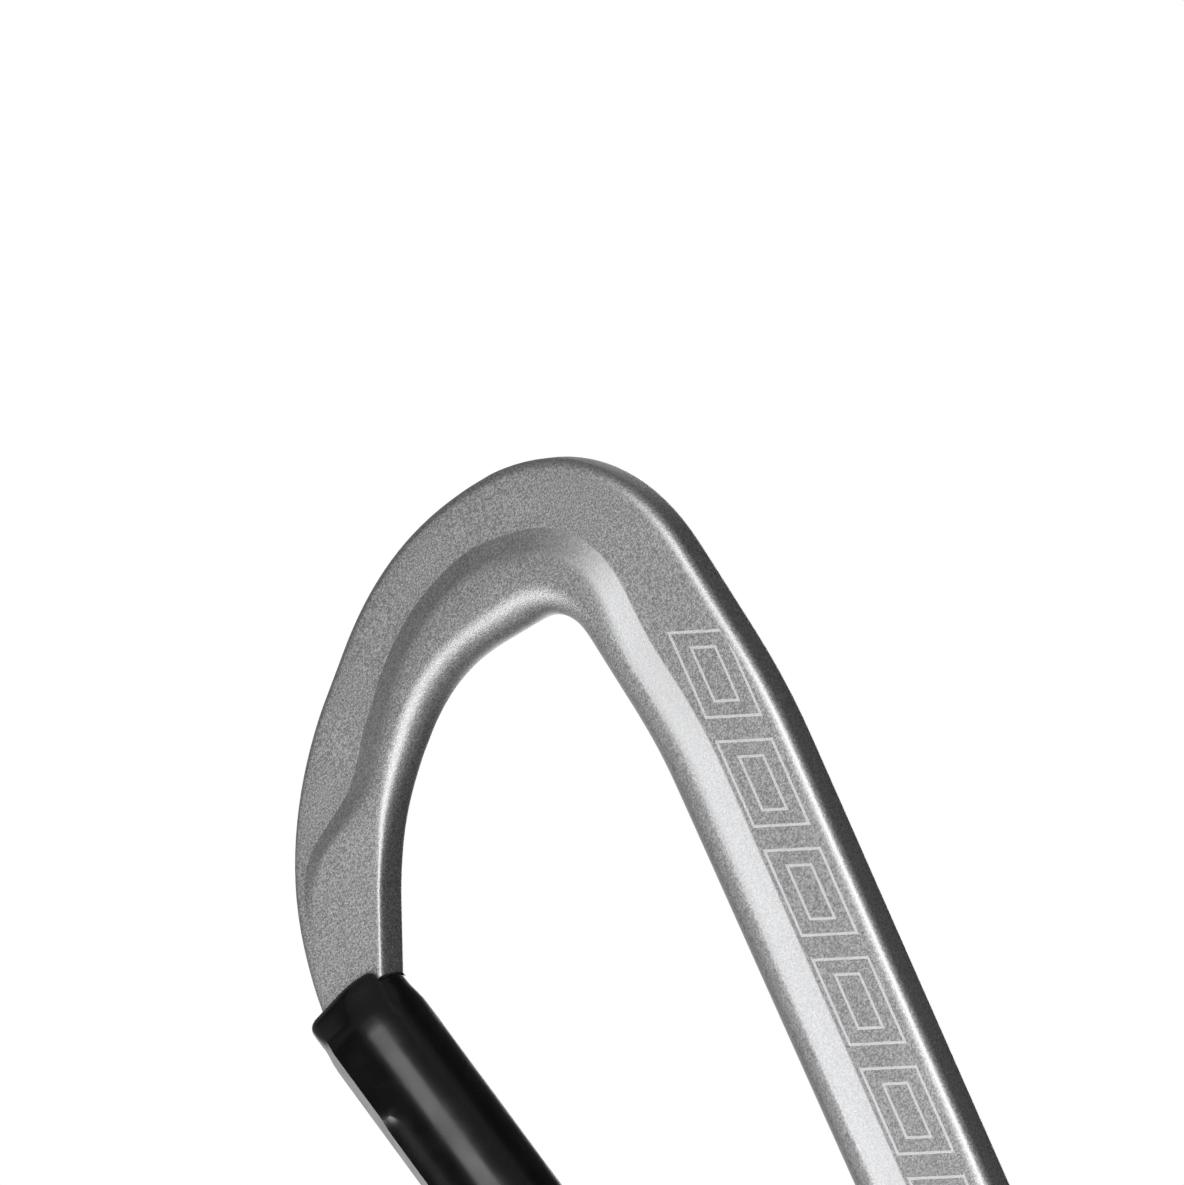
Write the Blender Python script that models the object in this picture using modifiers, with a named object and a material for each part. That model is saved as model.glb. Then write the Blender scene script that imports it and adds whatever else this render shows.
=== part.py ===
"""Climbing quickdraw: two keylock carabiners joined by a sewn sling.

Units are metres, +Z is up. The upper carabiner hangs from the origin, which lies on the inner top
of its bow, in its middle plane. X runs from the gate to the spine, Y through the thickness.
"""
import math
from collections import namedtuple

import bmesh
import bpy
from mathutils import Matrix, Vector

# Overall sizes
BODY_LENGTH = 0.096
BODY_WIDTH = 0.0541
SPINE_OUTER_X = 0.0202
SLING_SPAN = 0.112

# Frame outline
BOW_DEPTH = 0.0124
SPINE_DEPTH = 0.01265
SEAT_DEPTH = 0.0086
NOSE_OUTER_RAKE = math.radians(5)
NOSE_INNER_RAKE = math.radians(27)
SHOULDER_DEPTH = 0.0096
SHOULDER_DROP = 0.0051
SHOULDER_RUN = 0.0233
NECK_DROP = 0.0145
SPINE_LEAN = math.radians(9.8)
HEEL_FLARE = 0.0005
HINGE_RISE = 0.0157

# Fillets of the outline's corners, inner and outer
SHOULDER_FILLETS = (0.0260, 0.0280)
CROWN_FILLETS = (0.0160, 0.0280)
DEEP_FILLETS = (0.0040, 0.0145)
NECK_FILLETS = (0.0450, 0.0580)
HEEL_FILLETS = (0.0045, 0.0150)
TOE_FILLETS = (0.0034, 0.0115)

# Frame's bead, its web, the crest's depth in the bead, and the wall between bead and web
SPINE_BEAD = 0.0059
SPINE_WEB = 0.0038
SPINE_CREST = 0.0029
SPINE_WEB_WIDTH = 0.00715
BOW_BEAD = 0.0052
BOW_WEB = 0.0034
BOW_CREST = 0.0028
BOW_WEB_WIDTH = 0.0050
SHOULDER_BEAD = 0.0042
SHOULDER_WEB = 0.0029
SHOULDER_CREST = 0.0019
SHOULDER_WEB_WIDTH = 0.0039
WALL_RUN = 0.0020
BROW_SHARE = 0.17
WEB_EDGE = 0.0010

# Solid ends of the frame
NOSE_THICKNESS = 0.0033
NOSE_EDGE = 0.0009
HINGE_EDGE = 0.0025
SEAT_FLAT = 0.0005

# Gate and its line
GATE_LEAN = math.radians(14.6)
GATE_DEPTH = 0.0082
GATE_THICKNESS = 0.0092
GATE_INNER_EDGE = 0.0030
GATE_OUTER_EDGE = 0.0014
TIP_DROP = 0.0201
TIP_CHAMFER = 0.0008
TIP_TAPER = 0.0016
TIP_TAPER_LENGTH = 0.0037
NOSE_INSET = 0.0005
NOSE_SINK = 0.0014
GATE_OPENING = math.radians(26)
ROPE_GATE_BEND = 0.0030

# Keylock between nose and gate
KEY_NECK = 0.0031
KEY_CHEEK = 0.0019
KEY_NECK_LENGTH = 0.0020
KEY_BULB_LENGTH = 0.0026
KEY_ROOT = 0.0005
KEY_WALL = 0.0014

# Hinge, spring and plunger
RIVET_RADIUS = 0.0016
RIVET_HEAD_LIP = 0.0007
RIVET_HEAD_HEIGHT = 0.0006
TANG_THICKNESS = 0.0030
TANG_SIDE_WALL = 0.0016
TANG_TOP_WALL = 0.0008
TANG_ROOT = 0.0080
SHOULDER_BELOW_PIN = 0.0030
BORE_RADIUS = 0.0019
BORE_OFFSET = 0.0008
BORE_DEPTH = 0.0180
PLUNGER_SKIRT = 0.0012
PLUNGER_STEM_LENGTH = 0.0040
SPRING_WIRE = 0.00045
SPRING_CURLS = 8

# Sling, stitching, keeper and label
WEBBING_WIDTH = 0.0120
WEBBING_LAYER = 0.0015
EYE_LENGTH = 0.0220
TACK_MARGIN = 0.0015
TACK_HEIGHT = 0.0045
TACK_PROUD = 0.0005
TACK_THREAD = 0.0008
TACK_FIRST = 0.0045
TACK_STEP = 0.0110
KEEPER_NEAR = 0.0085
KEEPER_HEIGHT = 0.0060
KEEPER_WALL = 0.0012
LABEL_THICKNESS = 0.0005
LABEL_HEIGHT = 0.0100
LABEL_HELD = 0.0035
LABEL_SHOWN = 0.0055

# Clearances
FIT_GAP = 0.0003
TIP_GAP = 0.00035
SEAT_GAP = 0.00035
PIN_GAP = 0.00025
BORE_GAP = 0.0004

# Smoothness of the meshes
ARC_STEPS = 5
EDGE_STEPS = 3
BEAD_STEPS = 4
ROUND_SIDES = 24
CURL_STEPS = 9
EAR_ANGLES = (75, 60, 45, 30, 15)

# Levels that follow from the sizes above
BOTTOM_Z = BOW_DEPTH - BODY_LENGTH
SEAT_RADIUS = SEAT_DEPTH / 2
SEAT_Z = BOTTOM_Z + SEAT_RADIUS
PIN_Z = BOTTOM_Z + HINGE_RISE
GATE_OUTER_X = SPINE_OUTER_X - BODY_WIDTH
GATE_UP = Vector((-math.sin(GATE_LEAN), 0, math.cos(GATE_LEAN)))
GATE_IN = Vector((math.cos(GATE_LEAN), 0, math.sin(GATE_LEAN)))
KEY_BULB = GATE_THICKNESS - 2 * KEY_CHEEK
TIP_OUTER = Vector((GATE_OUTER_X, 0, -TIP_DROP))
TIP_CENTRE = TIP_OUTER + GATE_IN * (GATE_DEPTH / 2)
GATE_REACH = (TIP_CENTRE.z - PIN_Z) / math.cos(GATE_LEAN)
PIN = TIP_CENTRE - GATE_UP * GATE_REACH
NOSE_END = GATE_REACH - NOSE_SINK + TIP_GAP
EAR_RADIUS = GATE_DEPTH / 2
RIVET_HEAD_RADIUS = RIVET_RADIUS + RIVET_HEAD_LIP
TANG_RADIUS = RIVET_RADIUS + TANG_SIDE_WALL
TANG_FLAT = RIVET_RADIUS + TANG_TOP_WALL
PLUNGER_RADIUS = BORE_RADIUS - BORE_GAP
SPRING_COIL_RADIUS = PLUNGER_RADIUS - SPRING_WIRE / 2
PLUNGER_STEM_RADIUS = SPRING_COIL_RADIUS - SPRING_WIRE / 2 - FIT_GAP
SLOT_END = math.hypot(TANG_RADIUS, TANG_FLAT) + FIT_GAP
PLUNGER_TIP = TANG_FLAT + FIT_GAP
PLUNGER_SHOULDER = PLUNGER_TIP + PLUNGER_RADIUS + PLUNGER_SKIRT
PLUNGER_REST = PLUNGER_TIP + PLUNGER_RADIUS
PLUNGER_OPEN = (PLUNGER_REST + BORE_OFFSET * math.sin(GATE_OPENING)) / math.cos(GATE_OPENING)
PLUNGER_TRAVEL = PLUNGER_OPEN - PLUNGER_REST
EYE_RADIUS = SEAT_RADIUS + SEAT_GAP
ROPE_SEAT_Z = SEAT_Z - SLING_SPAN
TACK_WIDTH = WEBBING_WIDTH - 2 * TACK_MARGIN

Corner = namedtuple("Corner", "inner outer fillets")
Section = namedtuple("Section", "bead web crest wall web_width edge")


def solid_section(half_thickness, depth_edge, flat):
    """Half section with no web: a rounded block with a short flat between its roundings."""
    return Section(half_thickness, half_thickness, depth_edge, flat / 2, depth_edge + flat, depth_edge)


def webbed_section(bead, web, crest, web_width):
    return Section(bead / 2, web / 2, crest, WALL_RUN, web_width, WEB_EDGE)


# Half sections: half thickness of bead and web, crest's depth, wall's run, web's width, outer rounding
NOSE_SECTION = solid_section(NOSE_THICKNESS / 2, NOSE_EDGE, SEAT_FLAT)
SHOULDER_SECTION = webbed_section(SHOULDER_BEAD, SHOULDER_WEB, SHOULDER_CREST, SHOULDER_WEB_WIDTH)
BOW_SECTION = webbed_section(BOW_BEAD, BOW_WEB, BOW_CREST, BOW_WEB_WIDTH)
SPINE_SECTION = webbed_section(SPINE_BEAD, SPINE_WEB, SPINE_CREST, SPINE_WEB_WIDTH)
SEAT_SECTION = solid_section(SEAT_RADIUS - SEAT_FLAT / 4, SEAT_RADIUS - SEAT_FLAT, SEAT_FLAT)
HINGE_SECTION = solid_section(GATE_THICKNESS / 2, HINGE_EDGE, SEAT_FLAT)

# Where the seat runs straight, counted in corners of the outline from the nose to the hinge
SEAT_STRETCH = (5.24, 5.76)

# Where each section holds, counted in corners of the outline from the nose to the hinge
SECTIONS_ALONG = (
    (0.0, NOSE_SECTION),
    (0.93, NOSE_SECTION),
    (1.25, SHOULDER_SECTION),
    (2.5, BOW_SECTION),
    (3.6, SPINE_SECTION),
    (4.62, SPINE_SECTION),
    (5.1, SEAT_SECTION),
    (5.9, SEAT_SECTION),
    (6.5, HINGE_SECTION),
    (7.0, HINGE_SECTION),
)


def gate_point(inward, along, across=0.0):
    """Point given from the hinge pin: inward from the gate's axis, along it and across its thickness."""
    return PIN + GATE_IN * inward + GATE_UP * along + Vector((0, across, 0))


def clear_scene():
    for old in list(bpy.data.objects):
        bpy.data.objects.remove(old, do_unlink=True)


def make_collection(name):
    group = bpy.data.collections.new(name)
    bpy.context.scene.collection.children.link(group)
    return group


def make_material(name, colour, roughness, metallic):
    finish = bpy.data.materials.new(name)
    finish.use_nodes = True
    shader = finish.node_tree.nodes["Principled BSDF"]
    shader.inputs["Base Color"].default_value = (*colour, 1)
    shader.inputs["Roughness"].default_value = roughness
    shader.inputs["Metallic"].default_value = metallic
    return finish


def smooth_shade(mesh):
    mesh.shade_smooth()
    mesh.set_sharp_from_angle(angle=math.radians(35))


def add_object(name, mesh, group, finish=None):
    item = bpy.data.objects.new(name, mesh)
    group.objects.link(item)
    if finish:
        mesh.materials.append(finish)
        smooth_shade(mesh)
    return item


def mesh_of(name, shape):
    bmesh.ops.recalc_face_normals(shape, faces=shape.faces)
    mesh = bpy.data.meshes.new(name)
    shape.to_mesh(mesh)
    shape.free()
    return mesh


def loft_mesh(name, rings):
    """Skin closed rings of equal point counts, with a cap on the first and the last."""
    shape = bmesh.new()
    loops = [[shape.verts.new(point) for point in ring] for ring in rings]
    for near, far in zip(loops, loops[1:]):
        for here in range(len(near)):
            after = (here + 1) % len(near)
            shape.faces.new((near[here], near[after], far[after], far[here]))
    shape.faces.new(loops[0])
    shape.faces.new(loops[-1])
    return mesh_of(name, shape)


def prism_mesh(name, outline, sweep):
    """Straight prism of a flat outline, swept by a vector."""
    shape = bmesh.new()
    base = shape.faces.new([shape.verts.new(point) for point in outline])
    grown = bmesh.ops.extrude_face_region(shape, geom=[base])
    moved = [part for part in grown["geom"] if isinstance(part, bmesh.types.BMVert)]
    bmesh.ops.translate(shape, vec=sweep, verts=moved)
    return mesh_of(name, shape)


def rod_mesh(name, radius, start, end):
    """Round rod between two points."""
    run = end - start
    shape = bmesh.new()
    turn = run.to_track_quat("Z", "Y").to_matrix().to_4x4()
    middle = Matrix.Translation((start + end) / 2) @ turn
    bmesh.ops.create_cone(shape, cap_ends=True, segments=ROUND_SIDES, radius1=radius, radius2=radius,
                          depth=run.length, matrix=middle)
    return mesh_of(name, shape)


def turned_object(name, profile, axis_start, axis, group, finish):
    """Piece turned about an axis, from (radius, height) points that run down the outer side."""
    mesh = bpy.data.meshes.new(name)
    points = [(radius, 0, height) for radius, height in profile]
    mesh.from_pydata(points, [(k, k + 1) for k in range(len(points) - 1)], [])
    item = add_object(name, mesh, group, finish)
    item.matrix_world = Matrix.Translation(axis_start) @ axis.to_track_quat("Z", "Y").to_matrix().to_4x4()
    turning = item.modifiers.new("turning", "SCREW")
    turning.steps = turning.render_steps = ROUND_SIDES
    turning.use_merge_vertices = True
    turning.merge_threshold = 0.00001
    turning.use_smooth_shade = True
    return item


def cut(item, tool, action="DIFFERENCE"):
    """Boolean of two solids, whose tool is kept as a hidden guide."""
    tool.hide_render = True
    tool.display_type = "WIRE"
    change = item.modifiers.new(tool.name, "BOOLEAN")
    change.operation = action
    change.solver = "EXACT"
    change.object = tool


def mesh_from_curve(name, curve_object):
    """Closed mesh of a filled curve, in the curve's own place."""
    bpy.context.view_layer.update()
    evaluated = curve_object.evaluated_get(bpy.context.evaluated_depsgraph_get())
    mesh = bpy.data.meshes.new_from_object(evaluated)
    mesh.name = name
    mesh.transform(curve_object.matrix_world)
    curve = curve_object.data
    bpy.data.objects.remove(curve_object)
    bpy.data.curves.remove(curve)
    shape = bmesh.new()
    shape.from_mesh(mesh)
    bmesh.ops.remove_doubles(shape, verts=shape.verts, dist=0.000001)
    bpy.data.meshes.remove(mesh)
    return mesh_of(name, shape)


def hang_on(item, pivot):
    """Parent a piece to the empty on its joint's axis, where it stands."""
    item.parent = pivot
    item.matrix_parent_inverse = pivot.matrix_world.inverted()


def make_pivot(name, place, group, parent=None):
    """Empty that stands on a joint's axis."""
    pivot = bpy.data.objects.new(name, None)
    pivot.empty_display_size = 0.01
    group.objects.link(pivot)
    pivot.parent = parent
    pivot.location = place - (parent.matrix_world.translation if parent else Vector())
    bpy.context.view_layer.update()
    return pivot


def corner_arc(before, corner, after, radius, steps):
    """Points along the fillet of a corner, from the edge before it to the edge after it."""
    back = (before - corner).normalized()
    ahead = (after - corner).normalized()
    half = back.angle(ahead) / 2
    centre = corner + (back + ahead).normalized() * (radius / math.sin(half))
    start = corner + back * (radius / math.tan(half)) - centre
    end = corner + ahead * (radius / math.tan(half)) - centre
    swing = start.angle(end)
    arc = []
    for step in range(steps + 1):
        share = step / steps
        weight = math.sin((1 - share) * swing), math.sin(share * swing)
        arc.append(centre + (start * weight[0] + end * weight[1]) / math.sin(swing))
    return arc


def frame_corners():
    """Corners of the frame from the nose, over the bow, down the spine and along the seat to the hinge."""
    up = GATE_UP
    outer_rake = Vector((math.sin(NOSE_OUTER_RAKE), 0, math.cos(NOSE_OUTER_RAKE)))
    inner_rake = Vector((math.sin(NOSE_INNER_RAKE), 0, math.cos(NOSE_INNER_RAKE)))
    nose_out = gate_point(NOSE_INSET - GATE_DEPTH / 2, NOSE_END)
    nose_in = gate_point(GATE_DEPTH / 2, NOSE_END)
    shoulder_out = line_at_height(nose_out, outer_rake, -SHOULDER_DROP)
    crown_out = Vector((shoulder_out.x + SHOULDER_RUN, 0, BOW_DEPTH))
    slope = (crown_out - shoulder_out).normalized()
    inward = Vector((slope.z, 0, -slope.x))
    crown_in = line_at_height(shoulder_out + inward * SHOULDER_DEPTH, slope, 0.0)
    neck_out = Vector((SPINE_OUTER_X, 0, -NECK_DROP))
    lean = Vector((-math.sin(SPINE_LEAN), 0, math.cos(SPINE_LEAN)))
    neck_in = neck_out - Vector((SPINE_DEPTH, 0, 0))
    deep_out = line_at_height(neck_out, lean, BOW_DEPTH)
    deep_in = line_at_height(neck_in, lean, 0.0)
    shoulder_in = lines_meet(crown_in, slope, nose_in, inner_rake)
    heel_out = Vector((SPINE_OUTER_X, 0, BOTTOM_Z))
    heel_in = Vector((neck_in.x + HEEL_FLARE, 0, BOTTOM_Z + SEAT_DEPTH))
    toe_out = line_at_height(gate_point(-GATE_DEPTH / 2, 0), up, BOTTOM_Z)
    toe_in = line_at_height(gate_point(GATE_DEPTH / 2, 0), up, BOTTOM_Z + SEAT_DEPTH)
    end_out = gate_point(-GATE_DEPTH / 2, -SHOULDER_BELOW_PIN)
    end_in = gate_point(GATE_DEPTH / 2, -SHOULDER_BELOW_PIN)
    return (
        Corner(nose_in, nose_out, None),
        Corner(shoulder_in, shoulder_out, SHOULDER_FILLETS),
        Corner(crown_in, crown_out, CROWN_FILLETS),
        Corner(deep_in, deep_out, DEEP_FILLETS),
        Corner(neck_in, neck_out, NECK_FILLETS),
        Corner(heel_in, heel_out, HEEL_FILLETS),
        Corner(toe_in, toe_out, TOE_FILLETS),
        Corner(end_in, end_out, None),
    )


def line_at_height(point, direction, height):
    return point + direction * ((height - point.z) / direction.z)


def lines_meet(first, first_way, second, second_way):
    """Point in the XZ plane where two lines meet."""
    gap = second - first
    turn = first_way.x * second_way.z - first_way.z * second_way.x
    return first + first_way * ((gap.x * second_way.z - gap.z * second_way.x) / turn)


def outline_stations(corners, side):
    """Stations (place, point) along one side of the frame, 0 inner or 1 outer, alike on both sides."""
    points = [corner[side] for corner in corners]
    last = len(points) - 1
    stations = [(0.0, points[0])]
    for k in range(1, last):
        arc = corner_arc(points[k - 1], points[k], points[k + 1], corners[k].fillets[side], ARC_STEPS)
        stations.extend(edge_stations(stations[-1], (k - 0.25, arc[0])))
        stations.extend((k - 0.25 + 0.5 * step / ARC_STEPS, point) for step, point in enumerate(arc))
    stations.extend(edge_stations(stations[-1], (float(last), points[-1])))
    stations.append((float(last), points[-1]))
    return stations


def edge_stations(start, end):
    inner_steps = range(1, EDGE_STEPS + 1)
    shares = [step / (EDGE_STEPS + 1) for step in inner_steps]
    return [(start[0] + (end[0] - start[0]) * share, start[1].lerp(end[1], share)) for share in shares]


def section_at(place):
    """Section at a place along the frame, eased between the places that are given."""
    for (low, first), (high, second) in zip(SECTIONS_ALONG, SECTIONS_ALONG[1:]):
        if place <= high:
            share = (place - low) / (high - low)
            ease = share * share * (3 - 2 * share)
            return Section(*(a + (b - a) * ease for a, b in zip(first, second)))
    return SECTIONS_ALONG[-1][1]


def half_section(section, depth):
    """Points (depth from the inner face, height) of half a section, inner face first."""
    points = []
    for step in range(BEAD_STEPS + 1):
        angle = math.pi / 2 * step / BEAD_STEPS
        points.append((section.crest * (1 - math.cos(angle)), section.bead * math.sin(angle)))
    brow = section.bead + (section.web - section.bead) * BROW_SHARE
    foot = depth - section.web_width
    points.append((foot - section.wall, brow))
    points.append((foot, section.web))
    for angle in (0, math.pi / 6, math.pi / 3, math.pi / 2):
        run = section.edge * (1 - math.sin(angle))
        drop = min(section.edge, section.web) * (1 - math.cos(angle))
        points.append((depth - run, section.web - drop))
    return points


def frame_rings():
    rings = []
    corners = frame_corners()
    inner = outline_stations(corners, 0)
    outer = outline_stations(corners, 1)
    for (place, near), (_, far) in zip(inner, outer):
        outward = far - near
        half = half_section(section_at(place), outward.length)
        outward.normalize()
        upper = [near + outward * depth + Vector((0, height, 0)) for depth, height in half]
        lower = [near + outward * depth - Vector((0, height, 0)) for depth, height in half]
        rings.append(upper + lower[:0:-1])
    return rings


def key_outline(growth, top):
    """Keyhole outline of nose key or gate slot, in the gate's thickness and length."""
    neck = KEY_NECK / 2 + growth
    bulb = KEY_BULB / 2 + growth
    shoulder = GATE_REACH - KEY_NECK_LENGTH + growth
    bottom = GATE_REACH - KEY_NECK_LENGTH - KEY_BULB_LENGTH - growth
    chamfer = (bulb - neck) / 2
    half = ((neck, top), (neck, shoulder), (bulb, shoulder - chamfer), (bulb, bottom + chamfer),
            (bulb - chamfer, bottom))
    return half + tuple((-across, along) for across, along in reversed(half))


def key_mesh(name, growth, top, outer, inner):
    outline = [gate_point(outer, along, across) for across, along in key_outline(growth, top)]
    return prism_mesh(name, outline, GATE_IN * (inner - outer))


def tang_outline():
    """Side outline of the tang, with the flat that the plunger presses on."""
    slope = math.asin(TANG_FLAT / TANG_RADIUS)
    rounding = [math.pi - slope * step / ARC_STEPS for step in range(ARC_STEPS + 1)]
    rear = [(TANG_RADIUS * math.cos(angle), TANG_RADIUS * math.sin(angle)) for angle in rounding]
    front = [(TANG_RADIUS - FIT_GAP, TANG_FLAT), (TANG_RADIUS, TANG_FLAT - FIT_GAP)]
    root = [(TANG_RADIUS, -TANG_ROOT / 2), (TANG_RADIUS / 2, -TANG_ROOT), (-TANG_RADIUS / 2, -TANG_ROOT)]
    return rear + front + root


def build_frame(prefix, group, tools, finish):
    frame = add_object(prefix + "_frame", loft_mesh(prefix + "_frame", frame_rings()), group, finish)
    reach = Vector((0, GATE_THICKNESS, 0))
    clearing = rod_mesh(prefix + "_fork_room", EAR_RADIUS + TIP_GAP, PIN - reach, PIN + reach)
    across = -TANG_THICKNESS / 2
    outline = [gate_point(inward, along, across) for inward, along in tang_outline()]
    tang = prism_mesh(prefix + "_tang", outline, Vector((0, TANG_THICKNESS, 0)))
    bore = rod_mesh(prefix + "_tang_bore", RIVET_RADIUS + PIN_GAP, PIN - reach, PIN + reach)
    outer = NOSE_INSET - GATE_DEPTH / 2 + FIT_GAP
    inner = GATE_DEPTH / 2 - KEY_WALL - FIT_GAP
    key = key_mesh(prefix + "_nose_key", 0.0, GATE_REACH + KEY_ROOT, outer, inner)
    for mesh, action in ((clearing, "DIFFERENCE"), (tang, "UNION"), (bore, "DIFFERENCE"), (key, "UNION")):
        cut(frame, add_object(mesh.name, mesh, tools), action)
    return frame


def gate_ring(along, inward, half_depth, half_thickness, trim=0.0):
    """Rounded rectangle across the gate at one place along it, with its roundings trimmed."""
    ring = []
    for corner in range(4):
        full_edge = (GATE_INNER_EDGE, GATE_OUTER_EDGE, GATE_OUTER_EDGE, GATE_INNER_EDGE)[corner]
        edge = min(full_edge - trim, half_depth * 0.9)
        middle_in = inward + (half_depth - edge) * (1, -1, -1, 1)[corner]
        middle_across = (half_thickness - edge) * (1, 1, -1, -1)[corner]
        for step in range(4):
            angle = math.pi / 2 * (corner + step / 3)
            ring.append(gate_point(middle_in + edge * math.cos(angle), along,
                                   middle_across + edge * math.sin(angle)))
    return ring


def gate_bend(along, bend):
    """How far a bent gate's axis lies inside the straight line, between its bore and its tip."""
    start = BORE_DEPTH
    end = GATE_REACH - KEY_NECK_LENGTH - KEY_BULB_LENGTH
    share = min(max((along - start) / (end - start), 0), 1)
    return bend * (1 - math.cos(2 * math.pi * share)) / 2


def gate_rings(bend):
    half_depth = GATE_DEPTH / 2
    half_thickness = GATE_THICKNESS / 2
    rings = []
    for degrees in EAR_ANGLES:
        angle = math.radians(degrees)
        width = EAR_RADIUS * math.cos(angle)
        rings.append(gate_ring(-EAR_RADIUS * math.sin(angle), 0, width, half_thickness))
    steps = 16 if bend else 4
    straight = GATE_REACH - TIP_TAPER_LENGTH
    for step in range(steps + 1):
        along = straight * step / steps
        rings.append(gate_ring(along, gate_bend(along, bend), half_depth, half_thickness))
    tip_thickness = half_thickness - TIP_TAPER
    below_tip = tip_thickness + TIP_TAPER * TIP_CHAMFER / TIP_TAPER_LENGTH
    rings.append(gate_ring(GATE_REACH - TIP_CHAMFER, 0, half_depth, below_tip))
    rings.append(gate_ring(GATE_REACH, 0, half_depth - TIP_CHAMFER, tip_thickness, TIP_CHAMFER))
    return rings


def build_gate(prefix, bend, group, tools, finish):
    gate = add_object(prefix + "_gate", loft_mesh(prefix + "_gate", gate_rings(bend)), group, finish)
    half_slot = TANG_THICKNESS / 2 + FIT_GAP
    side = GATE_DEPTH
    low = -GATE_DEPTH
    slot_outline = [gate_point(-side, low, -half_slot), gate_point(side, low, -half_slot),
                    gate_point(side, SLOT_END, -half_slot), gate_point(-side, SLOT_END, -half_slot)]
    slot = prism_mesh(prefix + "_fork_slot", slot_outline, Vector((0, 2 * half_slot, 0)))
    reach = Vector((0, GATE_THICKNESS, 0))
    bore = rod_mesh(prefix + "_ear_bore", RIVET_RADIUS + PIN_GAP, PIN - reach, PIN + reach)
    well = rod_mesh(prefix + "_spring_well", BORE_RADIUS, gate_point(BORE_OFFSET, SLOT_END - FIT_GAP),
                    gate_point(BORE_OFFSET, BORE_DEPTH))
    keyway = key_mesh(prefix + "_keyway", FIT_GAP, GATE_REACH + KEY_NECK, -side, GATE_DEPTH / 2 - KEY_WALL)
    half_nose = NOSE_THICKNESS / 2 + FIT_GAP
    floor = GATE_REACH - NOSE_SINK
    throat_outline = [gate_point(-side, floor, -half_nose), gate_point(side, floor, -half_nose),
                      gate_point(side, GATE_REACH + NOSE_SINK, -half_nose),
                      gate_point(-side, GATE_REACH + NOSE_SINK, -half_nose)]
    throat = prism_mesh(prefix + "_nose_throat", throat_outline, Vector((0, 2 * half_nose, 0)))
    for mesh in (slot, bore, well, keyway, throat):
        cut(gate, add_object(mesh.name, mesh, tools))
    return gate


def build_rivet(prefix, group, finish):
    half = GATE_THICKNESS / 2 + FIT_GAP
    top = half + RIVET_HEAD_HEIGHT
    crown = RIVET_HEAD_RADIUS - RIVET_HEAD_LIP
    head = [(0, top), (crown, top - RIVET_HEAD_HEIGHT / 5), (RIVET_HEAD_RADIUS, half + RIVET_HEAD_HEIGHT / 4),
            (RIVET_HEAD_RADIUS, half), (RIVET_RADIUS, half)]
    profile = head + [(radius, -height) for radius, height in reversed(head)]
    return turned_object(prefix + "_gate_rivet", profile, PIN, Vector((0, 1, 0)), group, finish)


def build_plunger(prefix, group, finish):
    dome = []
    for step in range(1, ARC_STEPS + 1):
        angle = math.pi / 2 * step / ARC_STEPS
        dome.append((PLUNGER_RADIUS * math.cos(angle), PLUNGER_REST - PLUNGER_RADIUS * math.sin(angle)))
    stem_top = PLUNGER_SHOULDER + PLUNGER_STEM_LENGTH
    profile = [(0, stem_top), (PLUNGER_STEM_RADIUS, stem_top), (PLUNGER_STEM_RADIUS, PLUNGER_SHOULDER),
               (PLUNGER_RADIUS, PLUNGER_SHOULDER), (PLUNGER_RADIUS, PLUNGER_REST)] + dome
    foot = gate_point(BORE_OFFSET, 0)
    return turned_object(prefix + "_gate_plunger", profile, foot, GATE_UP, group, finish)


def spring_points():
    """Points of the spring's wire, from the plunger's shoulder to the end of its well."""
    low = PLUNGER_SHOULDER + FIT_GAP + SPRING_WIRE / 2
    high = BORE_DEPTH - FIT_GAP - SPRING_WIRE / 2
    count = SPRING_CURLS * CURL_STEPS
    points = []
    for step in range(count + 1):
        turn = 2 * math.pi * step / CURL_STEPS
        inward = BORE_OFFSET + SPRING_COIL_RADIUS * math.cos(turn)
        along = low + (high - low) * step / count
        points.append(gate_point(inward, along, SPRING_COIL_RADIUS * math.sin(turn)))
    return points


def least_gap(points, wire, neighbours):
    """Least clear distance between two stretches of a wire that aren't next to each other."""
    gaps = [(points[i] - points[j]).length - wire for i in range(len(points))
            for j in range(i + neighbours, len(points))]
    return min(gaps)


def build_spring(prefix, group, finish):
    points = spring_points()
    gap = least_gap(points, SPRING_WIRE, CURL_STEPS // 2)
    print(prefix, "spring, least gap between curls:", round(gap, 6))
    curve = bpy.data.curves.new(prefix + "_spring_wire", "CURVE")
    curve.dimensions = "3D"
    curve.bevel_depth = SPRING_WIRE / 2
    curve.bevel_resolution = 1
    curve.use_fill_caps = True
    wire = curve.splines.new("POLY")
    wire.points.add(len(points) - 1)
    for slot, point in zip(wire.points, points):
        slot.co = (*point, 1)
    coil = add_object(curve.name, curve, group)
    mesh = mesh_from_curve(prefix + "_gate_spring", coil)
    return add_object(prefix + "_gate_spring", mesh, group, finish)


def leg_tilt():
    """Tilt of the eye's legs, which leave the round of the eye for the sewn middle."""
    round_outer = EYE_RADIUS + WEBBING_LAYER
    return (math.asin(round_outer / math.hypot(EYE_LENGTH, WEBBING_LAYER))
            - math.atan(WEBBING_LAYER / EYE_LENGTH))


def eye_arc(radius, centre_z, way, tilt):
    """Round of an eye from leg to leg in (y, z); way is 1 for the upper eye and -1 for the lower."""
    steps = ROUND_SIDES
    sweep = math.pi + 2 * tilt
    arc = []
    for step in range(steps + 1):
        angle = -tilt + sweep * step / steps
        arc.append((radius * math.cos(angle), centre_z + way * radius * math.sin(angle)))
    return arc


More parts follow.
